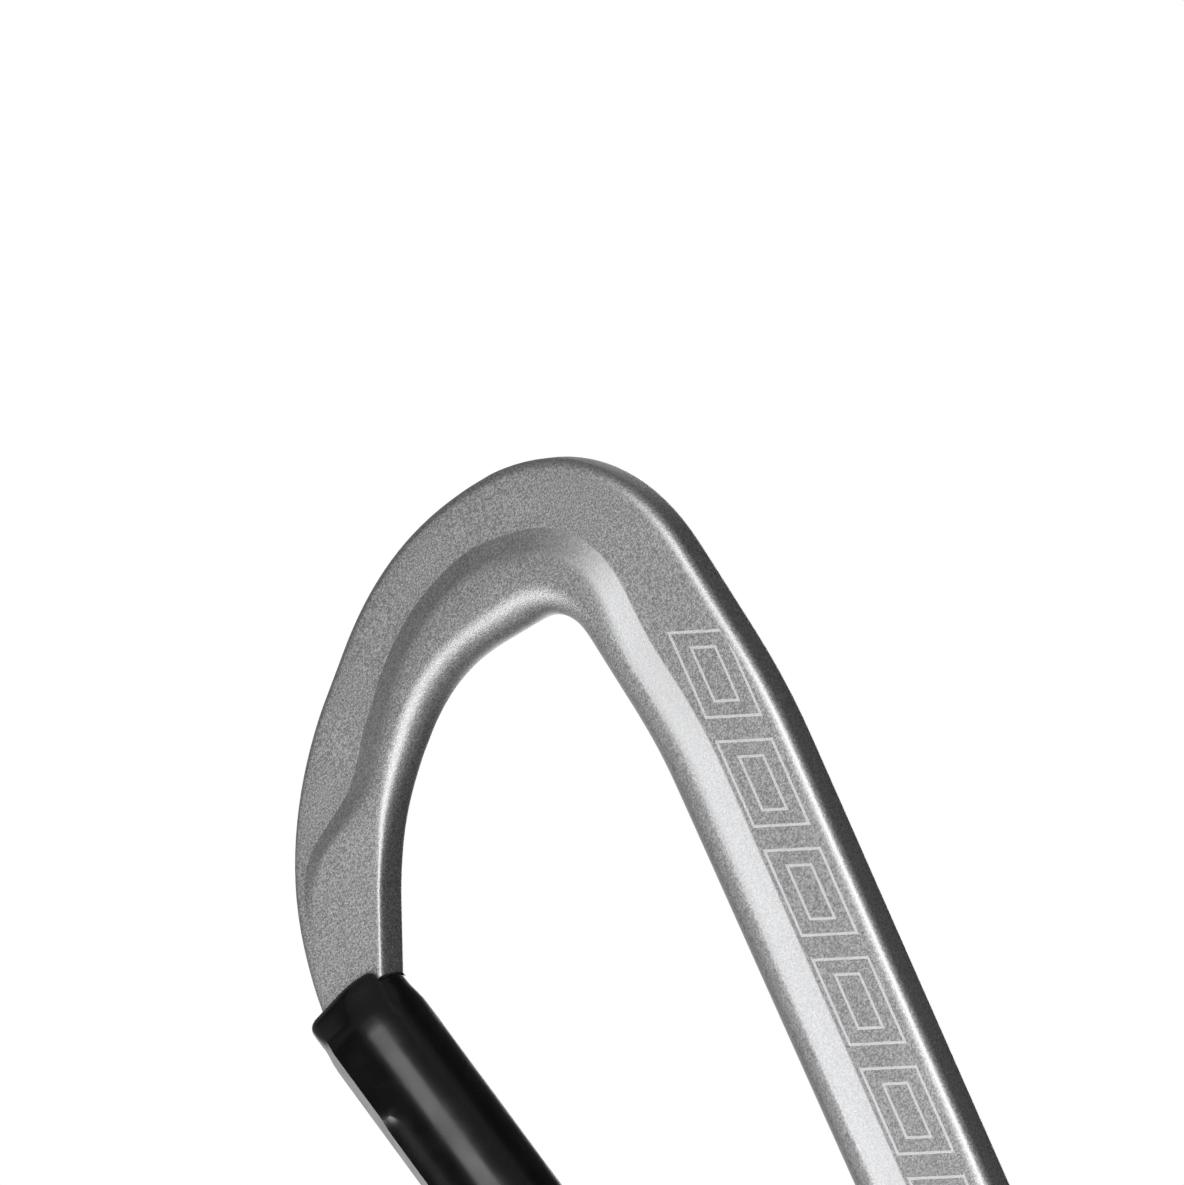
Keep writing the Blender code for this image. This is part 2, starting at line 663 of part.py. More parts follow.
def sling_outlines():
    """Outer outline and two teardrop eyes of the sling's side view, as (y, z) points."""
    tilt = leg_tilt()
    outer = []
    eyes = []
    for centre_z, way in ((SEAT_Z, 1), (ROPE_SEAT_Z, -1)):
        throat = centre_z - way * EYE_LENGTH
        half = [(WEBBING_LAYER, throat)]
        arc = half + eye_arc(EYE_RADIUS + WEBBING_LAYER, centre_z, way, tilt) + [(-WEBBING_LAYER, throat)]
        outer.extend(arc if way > 0 else arc[::-1])
        point = (0, centre_z - way * EYE_RADIUS / math.sin(tilt))
        eyes.append(eye_arc(EYE_RADIUS, centre_z, way, tilt) + [point])
    return outer, eyes


def sling_middle_x():
    """Middle of the straight stretch of the seat, where the sling lies."""
    inner = outline_stations(frame_corners(), 0)
    straight = [point.x for place, point in inner if SEAT_STRETCH[0] < place < SEAT_STRETCH[1]]
    return (max(straight) + min(straight)) / 2


def build_sling(middle_x, group, tools, finish):
    outer, eyes = sling_outlines()
    curve = bpy.data.curves.new("sling_side", "CURVE")
    curve.dimensions = "2D"
    curve.fill_mode = "BOTH"
    curve.extrude = WEBBING_WIDTH / 2
    for outline in (outer, *eyes):
        line = curve.splines.new("POLY")
        line.use_cyclic_u = True
        line.points.add(len(outline) - 1)
        for slot, (y, z) in zip(line.points, outline):
            slot.co = (y, z, 0, 1)
    side = add_object(curve.name, curve, group)
    upright = Matrix(((0, 0, 1, 0), (1, 0, 0, 0), (0, 1, 0, 0), (0, 0, 0, 1)))
    side.matrix_world = Matrix.Translation((middle_x, 0, 0)) @ upright
    sling = add_object("sling_webbing", mesh_from_curve("sling_webbing", side), group, finish)
    for index, height in enumerate(tack_heights(), 1):
        slot = box_mesh("tack_slot_%d" % index, (middle_x, 0, height),
                        (TACK_WIDTH + 2 * FIT_GAP, 4 * WEBBING_LAYER, TACK_THREAD + 2 * FIT_GAP))
        cut(sling, add_object(slot.name, slot, tools))
    edge = middle_x + WEBBING_WIDTH / 2
    seam = box_mesh("label_seam", (edge, 0, label_height()),
                    (2 * (LABEL_HELD + FIT_GAP), LABEL_THICKNESS + 2 * FIT_GAP, LABEL_HEIGHT + 2 * FIT_GAP))
    cut(sling, add_object(seam.name, seam, tools))
    return sling


def box_mesh(name, centre, size):
    shape = bmesh.new()
    bmesh.ops.create_cube(shape, size=1)
    bmesh.ops.scale(shape, vec=size, verts=shape.verts)
    bmesh.ops.translate(shape, vec=centre, verts=shape.verts)
    return mesh_of(name, shape)


def tack_heights():
    """Heights of the four bar tacks, two by each eye."""
    first = SEAT_Z - EYE_LENGTH - TACK_FIRST
    last = ROPE_SEAT_Z + EYE_LENGTH + TACK_FIRST
    return first, first - TACK_STEP, last + TACK_STEP, last


def label_height():
    return (SEAT_Z + ROPE_SEAT_Z) / 2


def build_tack(name, middle_x, height, group, finish):
    """Block of thread on both faces of the sling, joined through it."""
    face = WEBBING_LAYER + FIT_GAP
    proud = face + TACK_PROUD
    thread = TACK_THREAD / 2
    pad = TACK_HEIGHT / 2
    half = ((face, thread), (face, pad), (proud, pad), (proud, -pad), (face, -pad), (face, -thread))
    outline = half + tuple((-y, -z) for y, z in half)
    start = middle_x - TACK_WIDTH / 2
    points = [Vector((start, y, height + z)) for y, z in outline]
    return add_object(name, prism_mesh(name, points, Vector((TACK_WIDTH, 0, 0))), group, finish)


def build_label(middle_x, group, finish):
    edge = middle_x + WEBBING_WIDTH / 2
    length = LABEL_HELD + LABEL_SHOWN
    centre = (edge - LABEL_HELD + length / 2, 0, label_height())
    return add_object("sewn_label", box_mesh("sewn_label", centre, (length, LABEL_THICKNESS, LABEL_HEIGHT)),
                      group, finish)


def keeper_ring(middle_x, growth, rise):
    """Rounded rectangle round the lower eye's legs, at a height over the lower seat."""
    tilt = leg_tilt()
    half_y = WEBBING_LAYER + (EYE_LENGTH - rise) * math.tan(tilt) + FIT_GAP + growth
    half_x = WEBBING_WIDTH / 2 + FIT_GAP + growth
    edge = FIT_GAP + growth
    ring = []
    for corner in range(4):
        x = middle_x + (half_x - edge) * (1, -1, -1, 1)[corner]
        y = (half_y - edge) * (1, 1, -1, -1)[corner]
        for step in range(4):
            angle = math.pi / 2 * (corner + step / 3)
            ring.append(Vector((x + edge * math.cos(angle), y + edge * math.sin(angle), ROPE_SEAT_Z + rise)))
    return ring


def build_keeper(middle_x, group, tools, finish):
    """Rubber sleeve that draws the lower eye's legs together."""
    low = KEEPER_NEAR
    high = KEEPER_NEAR + KEEPER_HEIGHT
    body = loft_mesh("rubber_keeper", [keeper_ring(middle_x, KEEPER_WALL, rise) for rise in (low, high)])
    keeper = add_object("rubber_keeper", body, group, finish)
    passage = [keeper_ring(middle_x, 0, rise) for rise in (low - KEEPER_WALL, high + KEEPER_WALL)]
    hole = loft_mesh("keeper_passage", passage)
    cut(keeper, add_object(hole.name, hole, tools))
    return keeper


def place_pieces(pieces, pose):
    """Turn a carabiner's pieces and their tools into their place in the quickdraw."""
    for item in pieces:
        item.matrix_world = pose @ item.matrix_world


def build_carabiner(prefix, pose, bend, group, tools, finishes):
    """Frame, gate, rivet, spring and plunger of one carabiner, with its cutting tools put in place."""
    kept = set(tools.objects)
    frame = build_frame(prefix, group, tools, finishes["satin_aluminium"])
    gate = build_gate(prefix, bend, group, tools, finishes["black_anodised"])
    rivet = build_rivet(prefix, group, finishes["steel"])
    spring = build_spring(prefix, group, finishes["spring_steel"])
    plunger = build_plunger(prefix, group, finishes["steel"])
    pieces = [frame, gate, rivet, spring, plunger]
    bpy.context.view_layer.update()
    place_pieces(pieces + [tool for tool in tools.objects if tool not in kept], pose)
    return pieces


def make_finishes():
    return {
        "satin_aluminium": make_material("satin_aluminium", (0.62, 0.62, 0.61), 0.38, 1.0),
        "black_anodised": make_material("black_anodised", (0.012, 0.012, 0.013), 0.22, 0.0),
        "steel": make_material("steel", (0.50, 0.50, 0.50), 0.30, 1.0),
        "spring_steel": make_material("spring_steel", (0.42, 0.42, 0.43), 0.32, 1.0),
        "webbing": make_material("webbing", (0.045, 0.045, 0.050), 0.85, 0.0),
        "thread": make_material("thread", (0.55, 0.55, 0.56), 0.75, 0.0),
        "rubber": make_material("rubber", (0.020, 0.020, 0.020), 0.70, 0.0),
        "label": make_material("label", (0.80, 0.80, 0.78), 0.65, 0.0),
    }


def main():
    clear_scene()
    group = make_collection("climbing_quickdraw")
    tools = make_collection("cutting_tools")
    finishes = make_finishes()

    flip = Matrix.Translation((0, 0, SEAT_Z + ROPE_SEAT_Z)) @ Matrix.Rotation(math.pi, 4, "X")
    bolt = build_carabiner("bolt", Matrix.Identity(4), 0.0, group, tools, finishes)
    rope = build_carabiner("rope", flip, ROPE_GATE_BEND, group, tools, finishes)

    middle_x = sling_middle_x()
    sewn = [build_sling(middle_x, group, tools, finishes["webbing"])]
    for index, height in enumerate(tack_heights(), 1):
        sewn.append(build_tack("bar_tack_%d" % index, middle_x, height, group, finishes["thread"]))
    sewn.append(build_keeper(middle_x, group, tools, finishes["rubber"]))
    sewn.append(build_label(middle_x, group, finishes["label"]))

    rope_pin = flip @ PIN
    bolt_pivot = make_pivot("bolt_gate_pivot", PIN, group)
    sling_pivot = make_pivot("sling_pivot", Vector((0, 0, SEAT_Z)), group)
    rope_pivot = make_pivot("rope_pivot", Vector((0, 0, ROPE_SEAT_Z)), group, sling_pivot)
    rope_gate_pivot = make_pivot("rope_gate_pivot", rope_pin, group, rope_pivot)
    _, bolt_gate, _, bolt_spring, bolt_plunger = bolt
    rope_frame, rope_gate, rope_rivet, rope_spring, rope_plunger = rope
    for pivot, items in (
        (bolt_pivot, (bolt_gate, bolt_spring, bolt_plunger)),
        (sling_pivot, sewn),
        (rope_pivot, (rope_frame, rope_rivet)),
        (rope_gate_pivot, (rope_gate, rope_spring, rope_plunger)),
    ):
        for item in items:
            hang_on(item, pivot)


main()
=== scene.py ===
"""Climbing quickdraw: finished carabiners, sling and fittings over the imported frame, in metres."""
import math
from collections import namedtuple

import bmesh
import bpy
from mathutils import Matrix, Vector


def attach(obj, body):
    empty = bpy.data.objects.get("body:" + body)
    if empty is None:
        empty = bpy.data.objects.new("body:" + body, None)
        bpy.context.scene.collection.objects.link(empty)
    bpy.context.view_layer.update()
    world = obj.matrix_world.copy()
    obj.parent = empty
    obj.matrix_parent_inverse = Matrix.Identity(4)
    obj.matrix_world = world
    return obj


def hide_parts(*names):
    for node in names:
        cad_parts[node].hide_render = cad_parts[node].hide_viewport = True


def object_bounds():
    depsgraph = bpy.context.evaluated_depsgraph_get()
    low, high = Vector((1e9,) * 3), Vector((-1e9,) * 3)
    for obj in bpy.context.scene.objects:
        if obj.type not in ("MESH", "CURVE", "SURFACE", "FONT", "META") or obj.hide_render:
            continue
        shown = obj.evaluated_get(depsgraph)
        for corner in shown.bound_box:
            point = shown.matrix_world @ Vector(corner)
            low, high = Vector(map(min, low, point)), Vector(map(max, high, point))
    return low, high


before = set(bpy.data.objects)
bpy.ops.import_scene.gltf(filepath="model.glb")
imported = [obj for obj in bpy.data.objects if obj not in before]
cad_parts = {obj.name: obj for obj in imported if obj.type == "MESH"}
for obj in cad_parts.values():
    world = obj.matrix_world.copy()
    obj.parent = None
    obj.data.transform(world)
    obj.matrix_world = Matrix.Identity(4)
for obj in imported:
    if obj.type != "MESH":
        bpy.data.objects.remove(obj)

CAD_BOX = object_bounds()

# Outline of a carabiner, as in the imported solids
BOW_DEPTH = 0.0124
BOTTOM_Z = BOW_DEPTH - 0.096
SPINE_X = 0.0202
SPINE_DEPTH = 0.01265
SEAT_DEPTH = 0.0086
SEAT_RADIUS = SEAT_DEPTH / 2
SEAT_Z = BOTTOM_Z + SEAT_RADIUS
ROPE_SEAT_Z = SEAT_Z - 0.112
NOSE_OUTER_RAKE = math.radians(5)
NOSE_INNER_RAKE = math.radians(27)
SHOULDER_DEPTH = 0.0096
SHOULDER_DROP = 0.0051
SHOULDER_RUN = 0.0233
NECK_DROP = 0.0145
SPINE_LEAN = math.radians(9.8)
HEEL_FLARE = 0.0005

# Gate, hinge and keylock
GATE_LEAN = math.radians(14.6)
GATE_DEPTH = 0.0082
GATE_THICKNESS = 0.0092
GATE_INNER_EDGE = 0.0040
GATE_OUTER_EDGE = 0.0014
GATE_CHAMFER = 0.0017
GATE_UP = Vector((-math.sin(GATE_LEAN), 0, math.cos(GATE_LEAN)))
GATE_IN = Vector((math.cos(GATE_LEAN), 0, math.sin(GATE_LEAN)))
TIP_CENTRE = Vector((SPINE_X - 0.0541, 0, -0.0201)) + GATE_IN * (GATE_DEPTH / 2)
GATE_REACH = (TIP_CENTRE.z - BOTTOM_Z - 0.0157) / math.cos(GATE_LEAN)
PIN = TIP_CENTRE - GATE_UP * GATE_REACH
NOSE_INSET = 0.0005
NOSE_SINK = 0.0014
NOSE_THICKNESS = 0.0033
TIP_GAP = 0.00035
FIT_GAP = 0.0003
EAR_RADIUS = GATE_DEPTH / 2
EAR_EDGE = 0.0022
EAR_BLEND = 0.012
RIVET_RADIUS = 0.0016
RIVET_GAP = 0.00025
RIVET_HEAD = 0.0023
RIVET_DOME = 0.00045
RIVET_RIM = 0.00015
HINGE_DROP = 0.003
TANG_HALF = 0.0015
TANG_RADIUS = 0.0032
TANG_FLAT = 0.0024
TANG_ROOT = 0.0080
BORE_OFFSET = 0.0008
BORE_RADIUS = 0.0019
BORE_DEPTH = 0.0180
SLOT_END = 0.00430
KEY_NECK = 0.0031
KEY_BULB = 0.0054
KEY_WALL = 0.0014
KEY_SHOULDER_DROP = 0.0020
KEY_BOTTOM_DROP = 0.0046
ROPE_BEND = 0.0030
TIP_TAPER = 0.0012
TIP_TAPER_LENGTH = 0.0037
TIP_ROUNDING = 0.0008

# Sink along the gate's cheeks: its round cutter, how far that stands off the cheek and outward, and its ends
GROOVE_RADIUS = 0.0050
GROOVE_LIFT = 0.0047
GROOVE_OUT = 0.0026
GROOVE_LOW = 0.0140
GROOVE_TOP = GATE_REACH - 0.0124

# Etched row on the spine: slant, pitch, place, half size of a frame and half the gap between its two lines
ROW_SLANT = 0.42
ROW_PITCH = 0.0098
ROW_X = 0.01605
ROW_HALF_HEIGHT = 0.0038
ROW_HALF_WIDTH = 0.0025
ROW_HALF_GAP = 0.0007

# Sling and what is sewn to it
WEBBING_WIDTH = 0.0120
WEBBING_LAYER = 0.0015
EYE_RADIUS = SEAT_RADIUS + 0.00035
EYE_LENGTH = 0.0220
EYE_SPREAD = math.radians(12.28)
KNEE_CUT = 0.003
LAYER_GAP = 0.00002
MIDDLE_GAP = 0.00005
WEFT_PITCH = 0.00062
WARP_PITCH = 0.00078
TRACER_OFFSET = 0.0031
SELVAGE_OFFSET = 0.0053
TACK_WIDTH = WEBBING_WIDTH - 0.003
TACK_HEIGHT = 0.0045
TACK_CLEARANCE = 0.0045
TACK_PITCH = 0.0110
TACK_RISE = 0.00010
STITCHES = 23
STITCH_LEAN = 0.00042
THREAD_ARCH = 0.00042
THREAD_SINK = 0.00016
THREAD_HALF_WIDTH = 0.00022
THREAD_HALF_HEIGHT = 0.00020
KEEPER_LOW = 0.0085
KEEPER_HIGH = 0.0145
KEEPER_WALL = 0.0012
KEEPER_EDGE = 0.0004
LABEL_HALF_THICKNESS = 0.00025
LABEL_HALF_HEIGHT = 0.0050
LABEL_SEWN = 0.0035
LABEL_OUT = 0.0055

FLIP = Matrix.Translation((0, 0, SEAT_Z + ROPE_SEAT_Z)) @ Matrix.Rotation(math.pi, 4, "X")

Corner = namedtuple("Corner", "inner outer fillets")
Section = namedtuple("Section", "bead web crest wall web_width edge round")

# Half sections along the frame: half thickness of bead and web, crest's depth, wall's run, web's width,
# outer rounding, and how round the inner face is
NOSE = Section(0.00165, 0.00165, 0.0008, 0.0003, 0.0014, 0.0008, 0.5)
PANEL_END = Section(0.0017, 0.00118, 0.0010, 0.0020, 0.0004, 0.00035, 0.6)
PANEL = Section(0.0019, 0.00125, 0.0014, 0.0020, 0.0054, 0.0008, 0.75)
SHOULDER = Section(0.0021, 0.00140, 0.0018, 0.0021, 0.0047, 0.0008, 0.9)
BOW = Section(0.0026, 0.0017, 0.0028, 0.0020, 0.0050, 0.0010, 1.0)
SPINE = Section(0.00295, 0.0019, 0.0029, 0.0020, 0.00715, 0.0010, 1.0)
SEAT = Section(SEAT_RADIUS - 0.00012, SEAT_RADIUS - 0.00012, SEAT_RADIUS - 0.0005, 0.00025, SEAT_RADIUS,
               SEAT_RADIUS - 0.0005, 1.0)
HINGE = Section(0.0046, 0.0046, 0.0025, 0.00025, 0.0030, 0.0025, 1.0)
SECTIONS_ALONG = (
    (0.0, NOSE), (0.91, NOSE), (0.97, PANEL_END), (1.10, PANEL), (1.35, SHOULDER), (2.5, BOW), (3.6, SPINE),
    (4.62, SPINE), (5.1, SEAT), (5.9, SEAT), (6.5, HINGE), (7.0, HINGE),
)


# Outlines and sections

def eased(value):
    """Smooth step from 0 to 1."""
    share = min(max(value, 0), 1)
    return share * share * (3 - 2 * share)


def gate_point(inward, along, across=0.0):
    return PIN + GATE_IN * inward + GATE_UP * along + Vector((0, across, 0))


def line_at_height(point, direction, height):
    return point + direction * ((height - point.z) / direction.z)


def lines_meet(first, first_way, second, second_way):
    gap = second - first
    turn = first_way.x * second_way.z - first_way.z * second_way.x
    return first + first_way * ((gap.x * second_way.z - gap.z * second_way.x) / turn)


def frame_corners():
    """Corners of the frame from the nose, over the bow, down the spine and along the seat to the hinge."""
    outer_rake = Vector((math.sin(NOSE_OUTER_RAKE), 0, math.cos(NOSE_OUTER_RAKE)))
    inner_rake = Vector((math.sin(NOSE_INNER_RAKE), 0, math.cos(NOSE_INNER_RAKE)))
    nose_out = gate_point(NOSE_INSET - GATE_DEPTH / 2, GATE_REACH - NOSE_SINK + TIP_GAP)
    nose_in = gate_point(GATE_DEPTH / 2, GATE_REACH - NOSE_SINK + TIP_GAP)
    shoulder_out = line_at_height(nose_out, outer_rake, -SHOULDER_DROP)
    crown_out = Vector((shoulder_out.x + SHOULDER_RUN, 0, BOW_DEPTH))
    slope = (crown_out - shoulder_out).normalized()
    inward = Vector((slope.z, 0, -slope.x))
    crown_in = line_at_height(shoulder_out + inward * SHOULDER_DEPTH, slope, 0.0)
    shoulder_in = lines_meet(crown_in, slope, nose_in, inner_rake)
    neck_out = Vector((SPINE_X, 0, -NECK_DROP))
    neck_in = neck_out - Vector((SPINE_DEPTH, 0, 0))
    lean = Vector((-math.sin(SPINE_LEAN), 0, math.cos(SPINE_LEAN)))
    heel_in = Vector((neck_in.x + HEEL_FLARE, 0, BOTTOM_Z + SEAT_DEPTH))
    half = GATE_DEPTH / 2
    toe_in = line_at_height(gate_point(half, 0), GATE_UP, BOTTOM_Z + SEAT_DEPTH)
    return (
        Corner(nose_in, nose_out, None),
        Corner(shoulder_in, shoulder_out, (0.0260, 0.0280)),
        Corner(crown_in, crown_out, (0.0160, 0.0280)),
        Corner(line_at_height(neck_in, lean, 0.0), line_at_height(neck_out, lean, BOW_DEPTH), (0.0040, 0.0145)),
        Corner(neck_in, neck_out, (0.0450, 0.0580)),
        Corner(heel_in, Vector((SPINE_X, 0, BOTTOM_Z)), (0.0045, 0.0150)),
        Corner(toe_in, line_at_height(gate_point(-half, 0), GATE_UP, BOTTOM_Z), (0.0034, 0.0115)),
        Corner(gate_point(half, -HINGE_DROP), gate_point(-half, -HINGE_DROP), None),
    )


def corner_arc(before, corner, after, radius, steps):
    """Points along the fillet of a corner."""
    back = (before - corner).normalized()
    ahead = (after - corner).normalized()
    half = back.angle(ahead) / 2
    centre = corner + (back + ahead).normalized() * (radius / math.sin(half))
    start = corner + back * (radius / math.tan(half)) - centre
    end = corner + ahead * (radius / math.tan(half)) - centre
    swing = start.angle(end)
    shares = [step / steps for step in range(steps + 1)]
    return [centre + (start * math.sin((1 - s) * swing) + end * math.sin(s * swing)) / math.sin(swing)
            for s in shares]


def outline_stations(corners, side, arc_steps=18, edge_steps=24):
    """Stations (place, point) along one side of the frame, alike on both sides."""
    points = [corner[side] for corner in corners]
    last = len(points) - 1
    stations = [(0.0, points[0])]

    def along_edge(place, point):
        start_place, start = stations[-1]
        for step in range(1, edge_steps + 1):
            share = step / (edge_steps + 1)
            stations.append((start_place + (place - start_place) * share, start.lerp(point, share)))

    for k in range(1, last):
        arc = corner_arc(points[k - 1], points[k], points[k + 1], corners[k].fillets[side], arc_steps)
        along_edge(k - 0.25, arc[0])
        stations.extend((k - 0.25 + 0.5 * step / arc_steps, point) for step, point in enumerate(arc))
    along_edge(float(last), points[-1])
    stations.append((float(last), points[-1]))
    return stations


def section_at(place):
    for (low, first), (high, second) in zip(SECTIONS_ALONG, SECTIONS_ALONG[1:]):
        if place <= high:
            share = eased((place - low) / (high - low))
            return Section(*(a + (b - a) * share for a, b in zip(first, second)))
    return SECTIONS_ALONG[-1][1]


def soft_corner(before, corner, after, cut, steps):
    """Short curve that takes the sharpness off a corner of a flat outline."""
    start = corner.lerp(before, min(cut / (before - corner).length, 0.45))
    end = corner.lerp(after, min(cut / (after - corner).length, 0.45))
    shares = [step / steps for step in range(steps + 1)]
    return [start * (1 - s) ** 2 + corner * (2 * s * (1 - s)) + end * s ** 2 for s in shares]


def half_section(section, depth):
    """Points (depth from the inner face, height) of half a section, from the inner face to the outer."""
    points = []
    for step in range(13):
        angle = math.pi / 2 * step / 12
        across = max(math.cos(angle), 0) ** section.round
        points.append(Vector((section.crest * (1 - across), section.bead * math.sin(angle) ** section.round)))
    foot = Vector((depth - section.web_width, section.web))
    brow = Vector((foot.x - section.wall, section.bead + (section.web - section.bead) * 0.12))
    edge = min(section.edge, section.web)
    rim = Vector((depth - section.edge, section.web))
    brow_cut, foot_cut = 0.00045, 0.00012
    points.extend(soft_corner(points[-1], brow, foot, brow_cut, 4))
    points.extend(soft_corner(brow, foot, rim, foot_cut, 3))
    points.append(foot.lerp(rim, 0.5))
    for step in range(9):
        angle = math.pi / 2 * step / 8
        points.append(Vector((rim.x + section.edge * math.sin(angle),
                              section.web - edge * (1 - math.cos(angle)))))
    return points


def frame_rings():
    """Rings along the frame, and marks (x, z, zone) on their points, with zone 1 on the wall and 2 on the web."""
    corners = frame_corners()
    full_step = 0.0004
    bead, wall, web, rim = 14, 7, 3, 8
    zones = [0] * bead + [1] * wall + [2] * web + [0] * rim
    rings = []
    steps = []
    for (place, near), (_, far) in zip(outline_stations(corners, 0), outline_stations(corners, 1)):
        outward = far - near
        section = section_at(place)
        half = half_section(section, outward.length)
        steps.append(min((section.bead - section.web) / full_step, 1))
        outward.normalize()
        upper = [near + outward * depth + Vector((0, height, 0)) for depth, height in half]
        lower = [near + outward * depth - Vector((0, height, 0)) for depth, height in half]
        rings.append(upper + lower[:0:-1])
    for _ in range(8):
        rings = eased_rings(rings)
    around = zones + zones[:0:-1]
    marks = [[(point.x, point.z, zone * step) for point, zone in zip(ring, around)]
             for ring, step in zip(rings, steps)]
    return rings, marks


def eased_rings(rings):
    """Rings moved a little toward their neighbours, so that the frame's lines run on evenly."""
    eased = [rings[0]]
    for before, ring, after in zip(rings, rings[1:], rings[2:]):
        eased.append([(a + b * 2 + c) / 4 for a, b, c in zip(before, ring, after)])
    return eased + [rings[-1]]


# Mesh tools

def ring_edges(shape, ring):
    return [shape.edges.get(pair) or shape.edges.new(pair) for pair in zip(ring, ring[1:] + ring[:1])]


def drawn_out(shape, ring, points):
    """Extrude a ring's edges, and move the new ring onto its points."""
    grown = bmesh.ops.extrude_edge_only(shape, edges=ring_edges(shape, ring))
    copies = {v.co.to_tuple(): v for v in grown["geom"] if isinstance(v, bmesh.types.BMVert)}
    fresh = [copies[v.co.to_tuple()] for v in ring]
    for vert, point in zip(fresh, points):
        vert.co = point
    return fresh


def loft(rings, closed=False, marks=None):
    """Skin of rings that is capped, or closed on itself; marks are kept on the points as an attribute."""
    shape = bmesh.new()
    layer = shape.verts.layers.float_vector.new("cloth") if marks else None
    first = ring = [shape.verts.new(point) for point in rings[0]]
    loops = [first]
    for points in rings[1:]:
        ring = drawn_out(shape, ring, points)
        loops.append(ring)
    if closed:
        bmesh.ops.bridge_loops(shape, edges=ring_edges(shape, first) + ring_edges(shape, ring))
    else:
        for end in (first, ring):
            bmesh.ops.contextual_create(shape, geom=ring_edges(shape, end))
    if marks:
        for loop, row in zip(loops, marks):
            for vert, mark in zip(loop, row):
                vert[layer] = mark
    bmesh.ops.recalc_face_normals(shape, faces=shape.faces)
    return shape


def prism(outline, sweep, edge=0.0):
    """Straight prism of a flat outline, with its edges taken off."""
    shape = bmesh.new()
    base = bmesh.ops.contextual_create(shape, geom=[shape.verts.new(point) for point in outline])["faces"]
    grown = bmesh.ops.extrude_face_region(shape, geom=base)["geom"]
    bmesh.ops.translate(shape, vec=sweep, verts=[v for v in grown if isinstance(v, bmesh.types.BMVert)])
    bmesh.ops.recalc_face_normals(shape, faces=shape.faces)
    if edge:
        bmesh.ops.bevel(shape, geom=shape.edges[:], offset=edge, affect="EDGES", segments=3, profile=0.5,
                        material=-1)
    return shape


def rod(radius, start, end, sides=64):
    run = end - start
    shape = bmesh.new()
    turn = run.to_track_quat("Z", "Y").to_matrix().to_4x4()
    bmesh.ops.create_cone(shape, cap_ends=True, segments=sides, radius1=radius, radius2=radius,
                          depth=run.length, matrix=Matrix.Translation((start + end) / 2) @ turn)
    return shape


def turned(profile, centre, axis, sides=64):
    """Piece turned about an axis from (radius, height) points."""
    shape = bmesh.new()
    verts = [shape.verts.new((radius, 0, height)) for radius, height in profile]
    edges = [shape.edges.new(pair) for pair in zip(verts, verts[1:])]
    bmesh.ops.spin(shape, geom=verts + edges, cent=(0, 0, 0), axis=(0, 0, 1), angle=2 * math.pi, steps=sides,
                   use_merge=True)
    bmesh.ops.remove_doubles(shape, verts=shape.verts, dist=0.000002)
    bmesh.ops.recalc_face_normals(shape, faces=shape.faces)
    place = Matrix.Translation(centre) @ axis.to_track_quat("Z", "Y").to_matrix().to_4x4()
    bmesh.ops.transform(shape, matrix=place, verts=shape.verts)
    return shape


def new_object(name, shape):
    mesh = bpy.data.meshes.new(name)
    shape.to_mesh(mesh)
    shape.free()
    item = bpy.data.objects.new(name, mesh)
    bpy.context.scene.collection.objects.link(item)
    return item


def carved(name, shape, steps):
    """Object whose shape is cut by, or joined with, other closed shapes."""
    item = new_object(name, shape)
    tools = []
    for action, tool_shape in steps:
        tool = new_object(name + "_tool", tool_shape)
        change = item.modifiers.new(action, "BOOLEAN")
        change.operation = action
        change.solver = "EXACT"
        change.object = tool
        tools.append(tool)
    bpy.context.view_layer.update()
    result = bpy.data.meshes.new_from_object(item.evaluated_get(bpy.context.evaluated_depsgraph_get()))
    item.modifiers.clear()
    item.data = result
    for tool in tools:
        bpy.data.objects.remove(tool)
    return item


def finish_piece(item, finish, body, nodes, pose=None, angle=35):
    """Put a piece in its place, smooth it, give it its finish, tie it to its body and hide the nodes it stands
    for.
    """
    if pose:
        item.data.transform(pose)
    item.data.shade_smooth()
    item.data.set_sharp_from_angle(angle=math.radians(angle))
    item.data.materials.clear()
    item.data.materials.append(finish)
    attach(item, body)
    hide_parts(*nodes)


# Materials

class Wire:
    """Socket of a material's nodes, whose arithmetic adds Math nodes."""

    def __init__(self, look, socket):
        self.look = look
        self.socket = socket

    def math(self, operation, *values):
        return self.look.add("ShaderNodeMath", {"operation": operation}, dict(enumerate(values)))

    def __add__(self, other):
        return self.math("ADD", self, other)

    def __sub__(self, other):
        return self.math("SUBTRACT", self, other)

    def __rsub__(self, other):
        return self.math("SUBTRACT", other, self)

    def __mul__(self, other):
        return self.math("MULTIPLY", self, other)

    def __truediv__(self, other):
        return self.math("DIVIDE", self, other)

    def __lt__(self, other):
        return self.math("LESS_THAN", self, other)

    def __gt__(self, other):
        return self.math("GREATER_THAN", self, other)

    def __abs__(self):
        return self.math("ABSOLUTE", self)

    def larger(self, other):
        return self.math("MAXIMUM", self, other)

    def sine(self):
        return self.math("SINE", self)

    def floor(self):
        return self.math("FLOOR", self)

    def wrap(self, span):
        return self.math("FLOORED_MODULO", self, span)

    def ease(self, low, high, to_low=0.0, to_high=1.0):
        """Smooth step from one value to another."""
        return self.look.add("ShaderNodeMapRange", {"interpolation_type": "SMOOTHSTEP"},
                             {"Value": self, "From Min": low, "From Max": high, "To Min": to_low,
                              "To Max": to_high})


